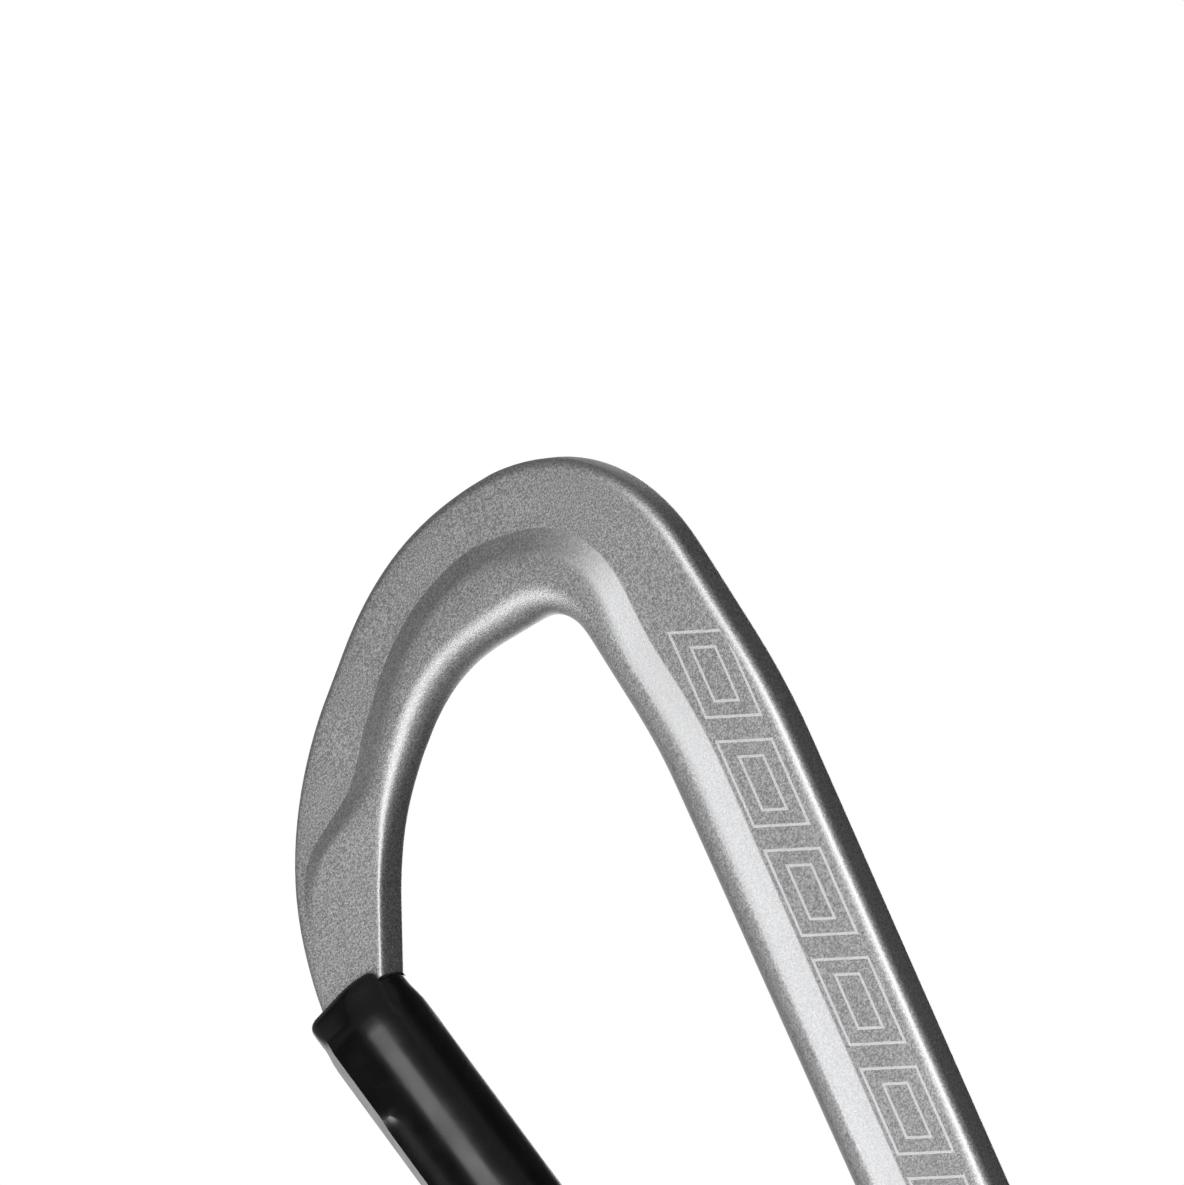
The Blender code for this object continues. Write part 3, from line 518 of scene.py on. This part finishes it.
class Look:
    """Material of one finish."""

    def __init__(self, name):
        self.material = bpy.data.materials.new(name)
        self.material.use_nodes = True
        self.tree = self.material.node_tree
        self.shader = self.tree.nodes["Principled BSDF"]

    def add(self, kind, settings, inputs, output=0):
        node = self.tree.nodes.new(kind)
        for name, value in settings.items():
            setattr(node, name, value)
        for name, value in inputs.items():
            self.feed(node.inputs[name], value)
        return Wire(self, node.outputs[output])

    def feed(self, socket, value):
        if isinstance(value, Wire):
            self.tree.links.new(value.socket, socket)
        else:
            socket.default_value = value

    def set(self, **values):
        for name, value in values.items():
            self.feed(self.shader.inputs[name.replace("_", " ")], value)

    def place(self):
        return self.add("ShaderNodeTexCoord", {}, {}, "Object")

    def axes(self, vector):
        node = self.add("ShaderNodeSeparateXYZ", {}, {"Vector": vector}).socket.node
        return [Wire(self, socket) for socket in node.outputs]

    def noise(self, vector, scale, detail=2.0, roughness=0.5):
        return self.add("ShaderNodeTexNoise", {}, {"Vector": vector, "Scale": scale, "Detail": detail,
                                                   "Roughness": roughness})

    def blend(self, factor, first, second):
        """Colour between two colours."""
        return self.add("ShaderNodeMix", {"data_type": "RGBA"}, {0: factor, 6: first, 7: second}, 2)

    def bump(self, height, distance, strength):
        return self.add("ShaderNodeBump", {}, {"Height": height, "Distance": distance, "Strength": strength})


def grey(value):
    return (value, value, value, 1)


def satin_aluminium():
    """Bead-blasted aluminium, with a fine sparkling grain and an etched row of slanted frames on the spine."""
    look = Look("satin_aluminium")
    place = look.place()
    x, z, zone = look.axes(look.add("ShaderNodeAttribute", {"attribute_name": "cloth"}, {}, "Vector"))
    grain = look.noise(place, 5600, 1.0, 0.6)
    speck = look.noise(place, 9500, 0.0)
    cloud = look.noise(place, 90, 3.0)
    slanted = z + x * ROW_SLANT
    frame_number = (slanted / ROW_PITCH).floor()
    beside = abs(x - ROW_X) - ROW_HALF_WIDTH
    border = (abs(slanted.wrap(ROW_PITCH) - ROW_PITCH / 2) - ROW_HALF_HEIGHT).larger(beside)
    line = 1 - abs(abs(border + ROW_HALF_GAP) - ROW_HALF_GAP).ease(0.00009, 0.00015)
    etched = line * (zone > 1.5) * (abs(frame_number + 3.5) < 3)
    smooth_wall = 1 - abs(zone - 1).ease(0.1, 0.7)
    coarse = 1 - smooth_wall * 0.40
    tone = (grain.ease(0.30, 0.72) * 0.55 + speck.ease(0.55, 0.80) * 0.35 - 0.4) * coarse + cloud * 0.10 + 0.4
    metal = look.blend(tone, (0.315, 0.317, 0.323, 1), (0.630, 0.630, 0.635, 1))
    look.set(Base_Color=look.blend(etched, metal, (0.66, 0.66, 0.67, 1)),
             Metallic=1.0,
             Roughness=grain.ease(0.2, 0.8, 0.44, 0.56) + etched * 0.10,
             Normal=look.bump((grain + speck * 0.5) * coarse + etched * 0.4, 0.00003, 0.55))
    return look.material


def gloss_black():
    """Smooth black anodising, with a faint ripple."""
    look = Look("gloss_black_anodising")
    place = look.place()
    ripple = look.noise(place, 420, 2.0)
    dust = look.noise(place, 5200, 1.0)
    black = look.blend(dust.ease(0.4, 0.8), (0.0008, 0.0008, 0.0009, 1), (0.0020, 0.0020, 0.0022, 1))
    look.set(Base_Color=black,
             Metallic=0.0,
             Specular_IOR_Level=0.50,
             Roughness=ripple.ease(0.3, 0.7, 0.23, 0.28),
             Normal=look.bump(ripple, 0.00002, 0.2))
    return look.material


def turned_steel(name, tone, pitch):
    """Steel with fine turning or drawing marks across an axis."""
    look = Look(name)
    place = look.place()
    stretched = look.add("ShaderNodeMapping", {}, {"Vector": place, "Scale": (1.0, 0.12, 1.0)})
    marks = look.noise(stretched, pitch, 3.0, 0.7)
    stain = look.noise(place, 600, 2.0)
    look.set(Base_Color=look.blend(marks, grey(tone * 0.72), grey(tone * 1.12)),
             Metallic=1.0,
             Roughness=marks * 0.18 + stain * 0.14 + 0.16,
             Normal=look.bump(marks, 0.00002, 0.4))
    return look.material


def woven_webbing():
    """Flat woven sling tape: ribs across it, bound edges and two pale tracer yarns."""
    look = Look("woven_webbing")
    cloth = look.add("ShaderNodeAttribute", {"attribute_name": "cloth"}, {}, "Vector")
    along, across, _ = look.axes(cloth)
    row = (across / WEFT_PITCH).floor()
    warp = abs(((along / WARP_PITCH + row * 0.5) * math.pi).sine())
    weft = abs((across / WEFT_PITCH * math.pi).sine())
    yarn = warp * 0.6 + weft * 0.4
    fuzz = look.noise(look.place(), 4200, 3.0, 0.7)
    tracer = abs(abs(across) - TRACER_OFFSET) < WEFT_PITCH
    selvage = abs(across) > SELVAGE_OFFSET
    tone = yarn * 0.7 + fuzz * 0.3
    body = look.blend(tone, (0.003, 0.003, 0.004, 1), (0.028, 0.028, 0.031, 1))
    pale = look.blend(tone, (0.14, 0.14, 0.15, 1), (0.38, 0.38, 0.39, 1))
    edge = look.blend(yarn, (0.002, 0.002, 0.003, 1), (0.018, 0.018, 0.020, 1))
    look.set(Base_Color=look.blend(selvage, look.blend(tracer, body, pale), edge),
             Roughness=fuzz * 0.15 + 0.74,
             Normal=look.bump(yarn + fuzz * 0.35, 0.00016, 0.9),
             Sheen_Weight=0.08)
    return look.material


def bonded_thread():
    """Pale twisted sewing thread."""
    look = Look("bonded_thread")
    place = look.place()
    x, _, z = look.axes(place)
    pitch = 0.00034
    twist = abs(((z * 1.6 + x * 0.8) / pitch * math.pi).sine())
    fuzz = look.noise(place, 5200, 2.0, 0.7)
    look.set(Base_Color=look.blend(twist * 0.6 + fuzz * 0.4, (0.20, 0.20, 0.21, 1), (0.48, 0.48, 0.49, 1)),
             Roughness=fuzz * 0.2 + 0.50,
             Normal=look.bump(twist + fuzz * 0.5, 0.00005, 0.8))
    return look.material


def moulded_rubber():
    """Matt black rubber with a fine moulded skin."""
    look = Look("moulded_rubber")
    place = look.place()
    skin = look.noise(place, 2600, 3.0, 0.6)
    bloom = look.noise(place, 160, 3.0)
    look.set(Base_Color=look.blend(bloom.ease(0.35, 0.75), grey(0.012), (0.034, 0.034, 0.035, 1)),
             Roughness=skin * 0.22 + 0.52,
             Normal=look.bump(skin, 0.00004, 0.6))
    return look.material


def woven_label():
    """Blank label tape with fine ribs both ways."""
    look = Look("woven_label")
    place = look.place()
    x, _, z = look.axes(place)
    rib_pitch, cross_pitch = 0.00028, 0.00034
    ribs = abs((z / rib_pitch * math.pi).sine()) * 0.6 + abs((x / cross_pitch * math.pi).sine()) * 0.4
    fuzz = look.noise(place, 4800, 2.0)
    tone = ribs * 0.6 + fuzz * 0.4
    look.set(Base_Color=look.blend(tone, grey(0.20), (0.42, 0.42, 0.41, 1)),
             Roughness=fuzz * 0.15 + 0.68,
             Normal=look.bump(ribs + fuzz * 0.4, 0.00006, 0.8))
    return look.material


# Carabiners

def tang_outline():
    """Tongue of the frame between the gate's ears, round at the rear, with a flat for the plunger."""
    slope = math.asin(TANG_FLAT / TANG_RADIUS)
    angles = [math.pi - slope * step / 12 for step in range(13)]
    rear = [(TANG_RADIUS * math.cos(angle), TANG_RADIUS * math.sin(angle)) for angle in angles]
    return rear + [(TANG_RADIUS - FIT_GAP, TANG_FLAT), (TANG_RADIUS, TANG_FLAT - FIT_GAP),
                   (TANG_RADIUS, -TANG_ROOT / 2), (TANG_RADIUS / 2, -TANG_ROOT), (-TANG_RADIUS / 2, -TANG_ROOT)]


def key_outline(growth, top):
    """Keyhole outline (across, along) of the lock, grown by a gap for the gate's pocket."""
    neck = KEY_NECK / 2 + growth
    bulb = KEY_BULB / 2 + growth
    shoulder = GATE_REACH - KEY_SHOULDER_DROP + growth
    bottom = GATE_REACH - KEY_BOTTOM_DROP - growth
    chamfer = (bulb - neck) / 2
    half = ((neck, top), (neck, shoulder), (bulb, shoulder - chamfer), (bulb, bottom + chamfer),
            (bulb - chamfer, bottom))
    return half + tuple((-across, along) for across, along in reversed(half))


def key(growth, top, outer, inner, edge=0.0):
    outline = [gate_point(outer, along, across) for across, along in key_outline(growth, top)]
    return prism(outline, GATE_IN * (inner - outer), edge)


def pin_hole(radius):
    reach = Vector((0, GATE_THICKNESS, 0))
    return rod(radius, PIN - reach, PIN + reach)


def make_frame(prefix, finish, pose):
    tang_edge, key_edge, key_root = 0.0001, 0.0002, 0.0005
    tang = prism([gate_point(inward, along, -TANG_HALF) for inward, along in tang_outline()],
                 Vector((0, 2 * TANG_HALF, 0)), tang_edge)
    nose_key = key(0.0, GATE_REACH + key_root, NOSE_INSET - GATE_DEPTH / 2 + FIT_GAP,
                   GATE_DEPTH / 2 - KEY_WALL - FIT_GAP, key_edge)
    rings, marks = frame_rings()
    item = carved(prefix + "_frame_body", loft(rings, marks=marks), (
        ("DIFFERENCE", pin_hole(EAR_RADIUS + TIP_GAP)),
        ("UNION", tang),
        ("DIFFERENCE", pin_hole(RIVET_RADIUS + RIVET_GAP)),
        ("UNION", nose_key),
    ))
    finish_piece(item, finish, prefix + "_carabiner", [prefix + "_frame"], pose)


def gate_bend(along, bend):
    """How far the bent gate dips inward at a place along it."""
    end = GATE_REACH - KEY_BOTTOM_DROP
    share = min(max((along - BORE_DEPTH) / (end - BORE_DEPTH), 0), 1)
    return bend * (1 - math.cos(2 * math.pi * share)) / 2


def gate_ring(along, inward, half_depth, half_thickness, trim=0.0, steps=10):
    """Rectangle across the gate at one place along it, with round inner edges and outer ones that turn flat."""
    ring = []
    past_ear = eased(along / EAR_BLEND)
    flat = past_ear * eased((GATE_REACH - along) / TIP_TAPER_LENGTH)
    inner_edge = EAR_EDGE + (GATE_INNER_EDGE - EAR_EDGE) * past_ear
    outer_edge = GATE_OUTER_EDGE + (GATE_CHAMFER - GATE_OUTER_EDGE) * flat
    most = 0.97
    for corner in range(4):
        full_edge = (inner_edge, outer_edge, outer_edge, inner_edge)[corner]
        edge = min(full_edge - trim, half_depth * most, half_thickness * most)
        middle_in = inward + (half_depth - edge) * (1, -1, -1, 1)[corner]
        middle_across = (half_thickness - edge) * (1, 1, -1, -1)[corner]
        start, end = [Vector((math.cos(angle), math.sin(angle)))
                      for angle in (math.pi / 2 * corner, math.pi / 2 * (corner + 1))]
        for step in range(steps + 1):
            angle = math.pi / 2 * (corner + step / steps)
            point = Vector((math.cos(angle), math.sin(angle)))
            if corner in (1, 2):
                point = point.lerp(start.lerp(end, step / steps), flat)
            ring.append(gate_point(middle_in + edge * point.x, along, middle_across + edge * point.y))
    return ring


def gate_rings(bend):
    """Rings along the gate: round ear, straight or bent body, tapered tip and its rounded end."""
    half_depth = GATE_DEPTH / 2
    half_thickness = GATE_THICKNESS / 2
    rings = []
    for step in range(1, 12):
        angle = math.pi / 2 * (1 - step / 12)
        width = EAR_RADIUS * math.cos(angle)
        rings.append(gate_ring(-EAR_RADIUS * math.sin(angle), 0, width, half_thickness))
    body_steps = 40
    taper_gap = 0.0002
    straight = GATE_REACH - TIP_TAPER_LENGTH
    for step in range(body_steps + 1):
        along = (straight - taper_gap) * step / body_steps
        rings.append(gate_ring(along, gate_bend(along, bend), half_depth, half_thickness))
    for step in range(1, 7):
        run = (TIP_TAPER_LENGTH - TIP_ROUNDING) * step / 6
        rings.append(gate_ring(straight + run, 0, half_depth, half_thickness - taper_at(run)))
    for step in range(1, 6):
        angle = math.pi / 2 * step / 5
        cut = TIP_ROUNDING * (1 - math.cos(angle))
        run = TIP_TAPER_LENGTH - TIP_ROUNDING + TIP_ROUNDING * math.sin(angle)
        thickness = half_thickness - taper_at(run) - cut * 0.6
        rings.append(gate_ring(straight + run, 0, half_depth - cut, thickness, cut))
    return rings


def taper_at(run):
    """How much each cheek has thinned at a distance past the start of the tip's taper."""
    return TIP_TAPER * run / TIP_TAPER_LENGTH


def groove(side):
    """Round-ended sink along one cheek of the gate."""
    turns = [(math.sin(angle), math.cos(angle)) for angle in (math.pi / 2 * step / 12 for step in range(13))]
    profile = [(GROOVE_RADIUS * s, GROOVE_TOP - GROOVE_LOW + GROOVE_RADIUS * c) for s, c in turns]
    profile += [(GROOVE_RADIUS * c, -GROOVE_RADIUS * s) for s, c in turns]
    centre = gate_point(-GROOVE_OUT, GROOVE_LOW, side * (GATE_THICKNESS / 2 + GROOVE_LIFT))
    return turned(profile, centre, GATE_UP, 96)


def make_gate(prefix, finish, bend, pose):
    half_slot = TANG_HALF + FIT_GAP
    side = GATE_DEPTH
    slot = prism([gate_point(-side, -side, -half_slot), gate_point(side, -side, -half_slot),
                  gate_point(side, SLOT_END, -half_slot), gate_point(-side, SLOT_END, -half_slot)],
                 Vector((0, 2 * half_slot, 0)))
    well = rod(BORE_RADIUS, gate_point(BORE_OFFSET, SLOT_END - FIT_GAP), gate_point(BORE_OFFSET, BORE_DEPTH))
    half_nose = NOSE_THICKNESS / 2 + FIT_GAP
    floor = GATE_REACH - NOSE_SINK
    top = GATE_REACH + NOSE_SINK
    throat = prism([gate_point(-side, floor, -half_nose), gate_point(side, floor, -half_nose),
                    gate_point(side, top, -half_nose), gate_point(-side, top, -half_nose)],
                   Vector((0, 2 * half_nose, 0)))
    cuts = [slot, pin_hole(RIVET_RADIUS + RIVET_GAP), well, throat,
            key(FIT_GAP, GATE_REACH + KEY_NECK, -side, GATE_DEPTH / 2 - KEY_WALL)]
    if not bend:
        cuts += [groove(1), groove(-1)]
    item = carved(prefix + "_gate_body", loft(gate_rings(bend)), [("DIFFERENCE", cut) for cut in cuts])
    finish_piece(item, finish, prefix + "_gate", [prefix + "_gate"], pose, 30)


def make_rivet(prefix, finish, pose):
    half = GATE_THICKNESS / 2 + FIT_GAP
    head = [(0, half + RIVET_RIM + RIVET_DOME)]
    for step in range(1, 9):
        angle = math.pi / 2 * step / 8
        head.append((RIVET_HEAD * math.sin(angle), half + RIVET_RIM + RIVET_DOME * math.cos(angle)))
    head += [(RIVET_HEAD, half), (RIVET_RADIUS, half)]
    profile = head + [(radius, -height) for radius, height in reversed(head)]
    item = new_object(prefix + "_rivet_body", turned(profile, PIN, Vector((0, 1, 0))))
    finish_piece(item, finish, prefix + "_carabiner", [prefix + "_gate_rivet"], pose)


# Sling

def sling_middle_x():
    """Middle of the seat's straight part, where the sling hangs."""
    seat_start, seat_end = 5.24, 5.76
    inner = outline_stations(frame_corners(), 0)
    straight = [point.x for place, point in inner if seat_start < place < seat_end]
    return (max(straight) + min(straight)) / 2


def sling_path():
    """Middle line of the tape in (y, z): round both eyes and twice along the sewn middle."""
    radius = EYE_RADIUS + WEBBING_LAYER / 2
    half = WEBBING_LAYER / 2 + LAYER_GAP
    tilt = math.asin(radius / math.hypot(EYE_LENGTH, half)) - math.atan(half / EYE_LENGTH)
    middle = (SEAT_Z + ROPE_SEAT_Z) / 2
    path = []
    for centre, way in ((SEAT_Z, 1), (ROPE_SEAT_Z, -1)):
        throat = centre - way * EYE_LENGTH
        arc = []
        for step in range(49):
            angle = -tilt + (math.pi + 2 * tilt) * step / 48
            arc.append(Vector((way * radius * math.cos(angle), centre + way * radius * math.sin(angle))))
        start = Vector((way * half, middle + way * MIDDLE_GAP))
        knee = Vector((way * half, throat))
        back_knee = Vector((-way * half, throat))
        back = Vector((-way * half, middle + way * MIDDLE_GAP))
        path.extend(start.lerp(knee, step / 20) for step in range(19))
        path.extend(soft_corner(start, knee, arc[0], KNEE_CUT, 8))
        path.extend(knee.lerp(arc[0], 0.25 + 0.7 * step / 6) for step in range(6))
        path.extend(arc)
        path.extend(arc[-1].lerp(back_knee, 0.05 + 0.7 * step / 6) for step in range(6))
        path.extend(soft_corner(arc[-1], back_knee, back, KNEE_CUT, 8))
        path.extend(back_knee.lerp(back, step / 20) for step in range(2, 21))
    return path


def tape_section():
    """Half width and half thickness points round the tape's section, with soft thick edges."""
    half_x = WEBBING_WIDTH / 2
    half_t = WEBBING_LAYER / 2
    edge_run = half_t * 0.8
    points = []
    for side in (1, -1):
        flat = [(side * half_x * share, side * half_t) for share in (-0.85, -0.55, -0.2, 0.2, 0.55, 0.85)]
        edge = []
        for step in range(7):
            angle = math.pi / 2 - math.pi * step / 6
            edge.append((side * (half_x - edge_run + edge_run * math.cos(angle)), side * half_t * math.sin(angle)))
        points += flat + edge
    return points


def make_sling(middle_x, finish):
    path = sling_path()
    section = tape_section()
    rings = []
    marks = []
    travelled = 0.0
    for k, point in enumerate(path):
        before = path[k - 1]
        after = path[(k + 1) % len(path)]
        run = (after - before).normalized()
        side = Vector((run.y, -run.x))
        if k:
            travelled += (point - before).length
        rings.append([Vector((middle_x + x, point.x + side.x * t, point.y + side.y * t)) for x, t in section])
        marks.append([(travelled, x, 0) for x, _ in section])
    item = new_object("sling_tape", loft(rings, closed=True, marks=marks))
    finish_piece(item, finish, "sling", ["sling_webbing"], angle=60)


def stitch(x, face, height, lean):
    """One thread on a face of the sling, whose ends dive into it."""
    way = 1 if face > 0 else -1
    rings = []
    for step in range(9):
        share = step / 8
        rise = math.sin(math.pi * share) ** 0.5 * THREAD_ARCH
        centre = Vector((x + lean * (share - 0.5), face + way * (rise - THREAD_SINK),
                         height + TACK_HEIGHT * 0.94 * (share - 0.5)))
        rings.append([centre + Vector((THREAD_HALF_WIDTH * math.cos(a), THREAD_HALF_HEIGHT * math.sin(a), 0))
                      for a in (math.pi / 4 * k for k in range(8))])
    return loft(rings)


def tack_heights():
    first = SEAT_Z - EYE_LENGTH - TACK_CLEARANCE
    last = ROPE_SEAT_Z + EYE_LENGTH + TACK_CLEARANCE
    return first, first - TACK_PITCH, last + TACK_PITCH, last


def make_tack(index, middle_x, height, finish):
    """Two rows of threads that lean by turns, one on each face of the sling."""
    whole = bmesh.new()
    for face in (WEBBING_LAYER + TACK_RISE, -WEBBING_LAYER - TACK_RISE):
        for k in range(STITCHES):
            x = middle_x + TACK_WIDTH * 0.97 * (k / (STITCHES - 1) - 0.5)
            part = stitch(x, face, height, STITCH_LEAN if k % 2 else -STITCH_LEAN)
            mesh = bpy.data.meshes.new("thread")
            part.to_mesh(mesh)
            part.free()
            whole.from_mesh(mesh)
            bpy.data.meshes.remove(mesh)
    item = new_object("bar_tack_threads_%d" % index, whole)
    finish_piece(item, finish, "sling", ["bar_tack_%d" % index])


def keeper_ring(middle_x, growth, rise):
    """Rounded rectangle round the legs of the lower eye."""
    half_y = WEBBING_LAYER + (EYE_LENGTH - rise) * math.tan(EYE_SPREAD) + FIT_GAP + growth
    half_x = WEBBING_WIDTH / 2 + FIT_GAP + growth
    edge = KEEPER_EDGE + growth
    ring = []
    for corner in range(4):
        x = middle_x + (half_x - edge) * (1, -1, -1, 1)[corner]
        y = (half_y - edge) * (1, 1, -1, -1)[corner]
        for step in range(9):
            angle = math.pi / 2 * (corner + step / 8)
            ring.append(Vector((x + edge * math.cos(angle), y + edge * math.sin(angle), ROPE_SEAT_Z + rise)))
    return ring


def make_keeper(middle_x, finish):
    """Rubber sleeve with a rolled lip at each end."""
    lip_rise, lip_at, lip_run, end_drop, waist = 0.00026, 0.10, 0.07, 0.00045, 0.00028
    flare, clear, flare_run = 0.0003, 0.00004, 0.0004
    outer = []
    for step in range(25):
        share = step / 24
        growth = KEEPER_WALL - waist
        for reach in (share, 1 - share):
            growth += lip_rise * math.exp(-((reach - lip_at) / lip_run) ** 2)
            growth -= end_drop * (max(0, lip_run - reach) / lip_run) ** 2
        outer.append((growth, KEEPER_LOW + (KEEPER_HIGH - KEEPER_LOW) * share))
    inner = [(flare, KEEPER_HIGH), (clear, KEEPER_HIGH - flare_run), (clear, KEEPER_LOW + flare_run),
             (flare, KEEPER_LOW)]
    rings = [keeper_ring(middle_x, growth, rise) for growth, rise in outer + inner]
    item = new_object("rubber_keeper_sleeve", loft(rings, closed=True))
    finish_piece(item, finish, "sling", ["rubber_keeper"], angle=50)


def make_label(middle_x, finish):
    """Folded tab whose outer end is the fold."""
    edge = middle_x + WEBBING_WIDTH / 2
    start, end = edge - LABEL_SEWN, edge + LABEL_OUT
    fold_start, fold_run, least = 0.96, 0.045, 0.04
    face_round, end_round = 0.5, 0.12
    middle = (SEAT_Z + ROPE_SEAT_Z) / 2
    rings = []
    for share in [step / 24 for step in range(25)]:
        x = start + (end - start) * share
        swell = math.sqrt(max(least, 1 - max(0, (share - fold_start) / fold_run) ** 2))
        ring = []
        for k in range(32):
            angle = 2 * math.pi * k / 32
            c, s = math.cos(angle), math.sin(angle)
            y = LABEL_HALF_THICKNESS * swell * math.copysign(abs(c) ** face_round, c)
            z = middle + LABEL_HALF_HEIGHT * math.copysign(abs(s) ** end_round, s)
            ring.append(Vector((x, y, z)))
        rings.append(ring)
    item = new_object("label_tab", loft(rings))
    finish_piece(item, finish, "sling", ["sewn_label"], angle=50)


# Stage, light and camera

def plain_material(name, colour, roughness, glow=0.0):
    look = Look(name)
    mottle = look.noise(look.place(), 14, 2.0)
    low = tuple(0.985 * c for c in colour)
    look.set(Base_Color=look.blend(mottle, (*low, 1), (*colour, 1)), Roughness=roughness,
             Emission_Color=grey(glow), Emission_Strength=1.0)
    return look.material


def stage_plane(name, centre, facing, size, material, seen=True):
    shape = bmesh.new()
    place = Matrix.Translation(centre) @ Vector(facing).to_track_quat("Z", "Y").to_matrix().to_4x4()
    bmesh.ops.create_grid(shape, x_segments=1, y_segments=1, size=size / 2, matrix=place)
    item = new_object(name, shape)
    item.data.materials.append(material)
    item.visible_camera = seen
    item.visible_glossy = not seen


def soft_box(name, direction, distance, size, power, length=None, roll=0.0):
    """Round lamp that faces the draw, or a strip of some length that is rolled by an angle."""
    lamp = bpy.data.lights.new(name, "AREA")
    lamp.shape = "RECTANGLE" if length else "DISK"
    lamp.size = length or size
    lamp.size_y = size
    lamp.energy = power
    item = bpy.data.objects.new(name, lamp)
    bpy.context.scene.collection.objects.link(item)
    target = Vector((0, 0, -0.03))
    item.location = target + Vector(direction).normalized() * distance
    facing = (item.location - target).to_track_quat("Z", "Y").to_matrix()
    item.rotation_euler = (facing @ Matrix.Rotation(roll, 3, "Z")).to_euler()


def make_world():
    """White surroundings for the eye, a softer light on cloth and floor, and a dimmer one mirrored in metal."""
    world = bpy.data.worlds.new("studio")
    bpy.context.scene.world = world
    world.use_nodes = True
    nodes = world.node_tree.nodes
    links = world.node_tree.links
    path = nodes.new("ShaderNodeLightPath")
    seen = nodes.new("ShaderNodeMath")
    seen.operation = "MAXIMUM"
    links.new(path.outputs["Is Camera Ray"], seen.inputs[0])
    links.new(path.outputs["Is Transmission Ray"], seen.inputs[1])
    cloth_light, mirrored_light = 0.66, 0.23
    soft = nodes.new("ShaderNodeMapRange")
    soft.inputs["To Min"].default_value = cloth_light
    soft.inputs["To Max"].default_value = mirrored_light
    links.new(path.outputs["Is Glossy Ray"], soft.inputs["Value"])
    strength = nodes.new("ShaderNodeMath")
    strength.operation = "MAXIMUM"
    links.new(seen.outputs[0], strength.inputs[0])
    links.new(soft.outputs[0], strength.inputs[1])
    back = nodes["Background"]
    back.inputs["Color"].default_value = (1, 1, 1, 1)
    links.new(strength.outputs[0], back.inputs["Strength"])


def make_camera():
    """Camera at the photograph's angle, tilted as it is, with its frame on the same part of the draw."""
    right = Vector((0.72085, 0.56915, -0.39553)).normalized()
    back = Vector((0.54443, -0.81814, -0.18506)).normalized()
    up = back.cross(right).normalized()
    right = up.cross(back)
    target = Vector((0.00491, 0.00320, 0.00051))
    distance = 3.0
    lens = bpy.data.cameras.new("camera")
    lens.sensor_width = 36
    lens.lens = 36 * distance / 0.0964
    lens.clip_start = 0.01
    lens.clip_end = 20
    item = bpy.data.objects.new("camera", lens)
    bpy.context.scene.collection.objects.link(item)
    turn = Matrix((right, up, back)).transposed().to_4x4()
    item.matrix_world = Matrix.Translation(target + back * distance) @ turn
    bpy.context.scene.camera = item


def make_stage():
    floor = plain_material("pale_floor", (0.80, 0.80, 0.80), 0.9, 0.30)
    stage_plane("floor", (0, 0, CAD_BOX[0][2] - 0.40), (0, 0, 1), 40.0, floor)
    dark = plain_material("dark_card", (0.02, 0.02, 0.02), 0.9)
    stage_plane("dark_card_behind", (0.33, 0.52, 0.02), (-0.53, -0.83, -0.03), 0.86, dark, False)
    stage_plane("dark_card_left", (-0.44, -0.65, 0.14), (0.55, 0.81, -0.18), 0.42, dark, False)
    stage_plane("dark_card_above", (-0.38, -0.23, 0.46), (0.60, 0.36, -0.72), 0.32, dark, False)
    stage_plane("dark_card_low", (0.10, 0.22, -0.10), (-0.46, -0.82, 0.33), 0.40, dark, False)
    soft_box("key", (0.25, -0.89, 0.36), 1.1, 0.10, 2.4, 0.80, math.radians(17))
    soft_box("side", (0.66, -0.72, 0.16), 1.1, 0.20, 5.3)
    soft_box("low", (0.14, -0.88, -0.46), 0.55, 0.46, 2.0)
    soft_box("left", (-0.78, -0.56, -0.28), 1.1, 0.40, 2.7)
    soft_box("left_low", (-0.40, -0.85, -0.35), 1.1, 0.40, 1.6)
    soft_box("edge", (-0.87, 0.48, 0.10), 1.1, 0.34, 0.35)
    soft_box("back", (-0.20, 0.95, 0.25), 1.1, 0.60, 4.0)
    soft_box("back_low", (-0.60, 0.75, -0.20), 1.1, 0.60, 2.0)


def main():
    aluminium = satin_aluminium()
    black = gloss_black()
    steel = turned_steel("turned_steel", 0.52, 2400)
    wire = turned_steel("drawn_wire", 0.42, 3200)
    for prefix, pose, bend in (("bolt", None, 0.0), ("rope", FLIP, ROPE_BEND)):
        make_frame(prefix, aluminium, pose)
        make_gate(prefix, black, bend, pose)
        make_rivet(prefix, steel, pose)
        for node, finish in ((prefix + "_gate_spring", wire), (prefix + "_gate_plunger", steel)):
            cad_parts[node].data.materials.clear()
            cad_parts[node].data.materials.append(finish)
    middle_x = sling_middle_x()
    thread = bonded_thread()
    make_sling(middle_x, woven_webbing())
    for index, height in enumerate(tack_heights(), 1):
        make_tack(index, middle_x, height, thread)
    make_keeper(middle_x, moulded_rubber())
    make_label(middle_x, woven_label())
    make_world()
    make_stage()
    make_camera()
    bpy.context.scene.view_settings.view_transform = "Standard"


main()
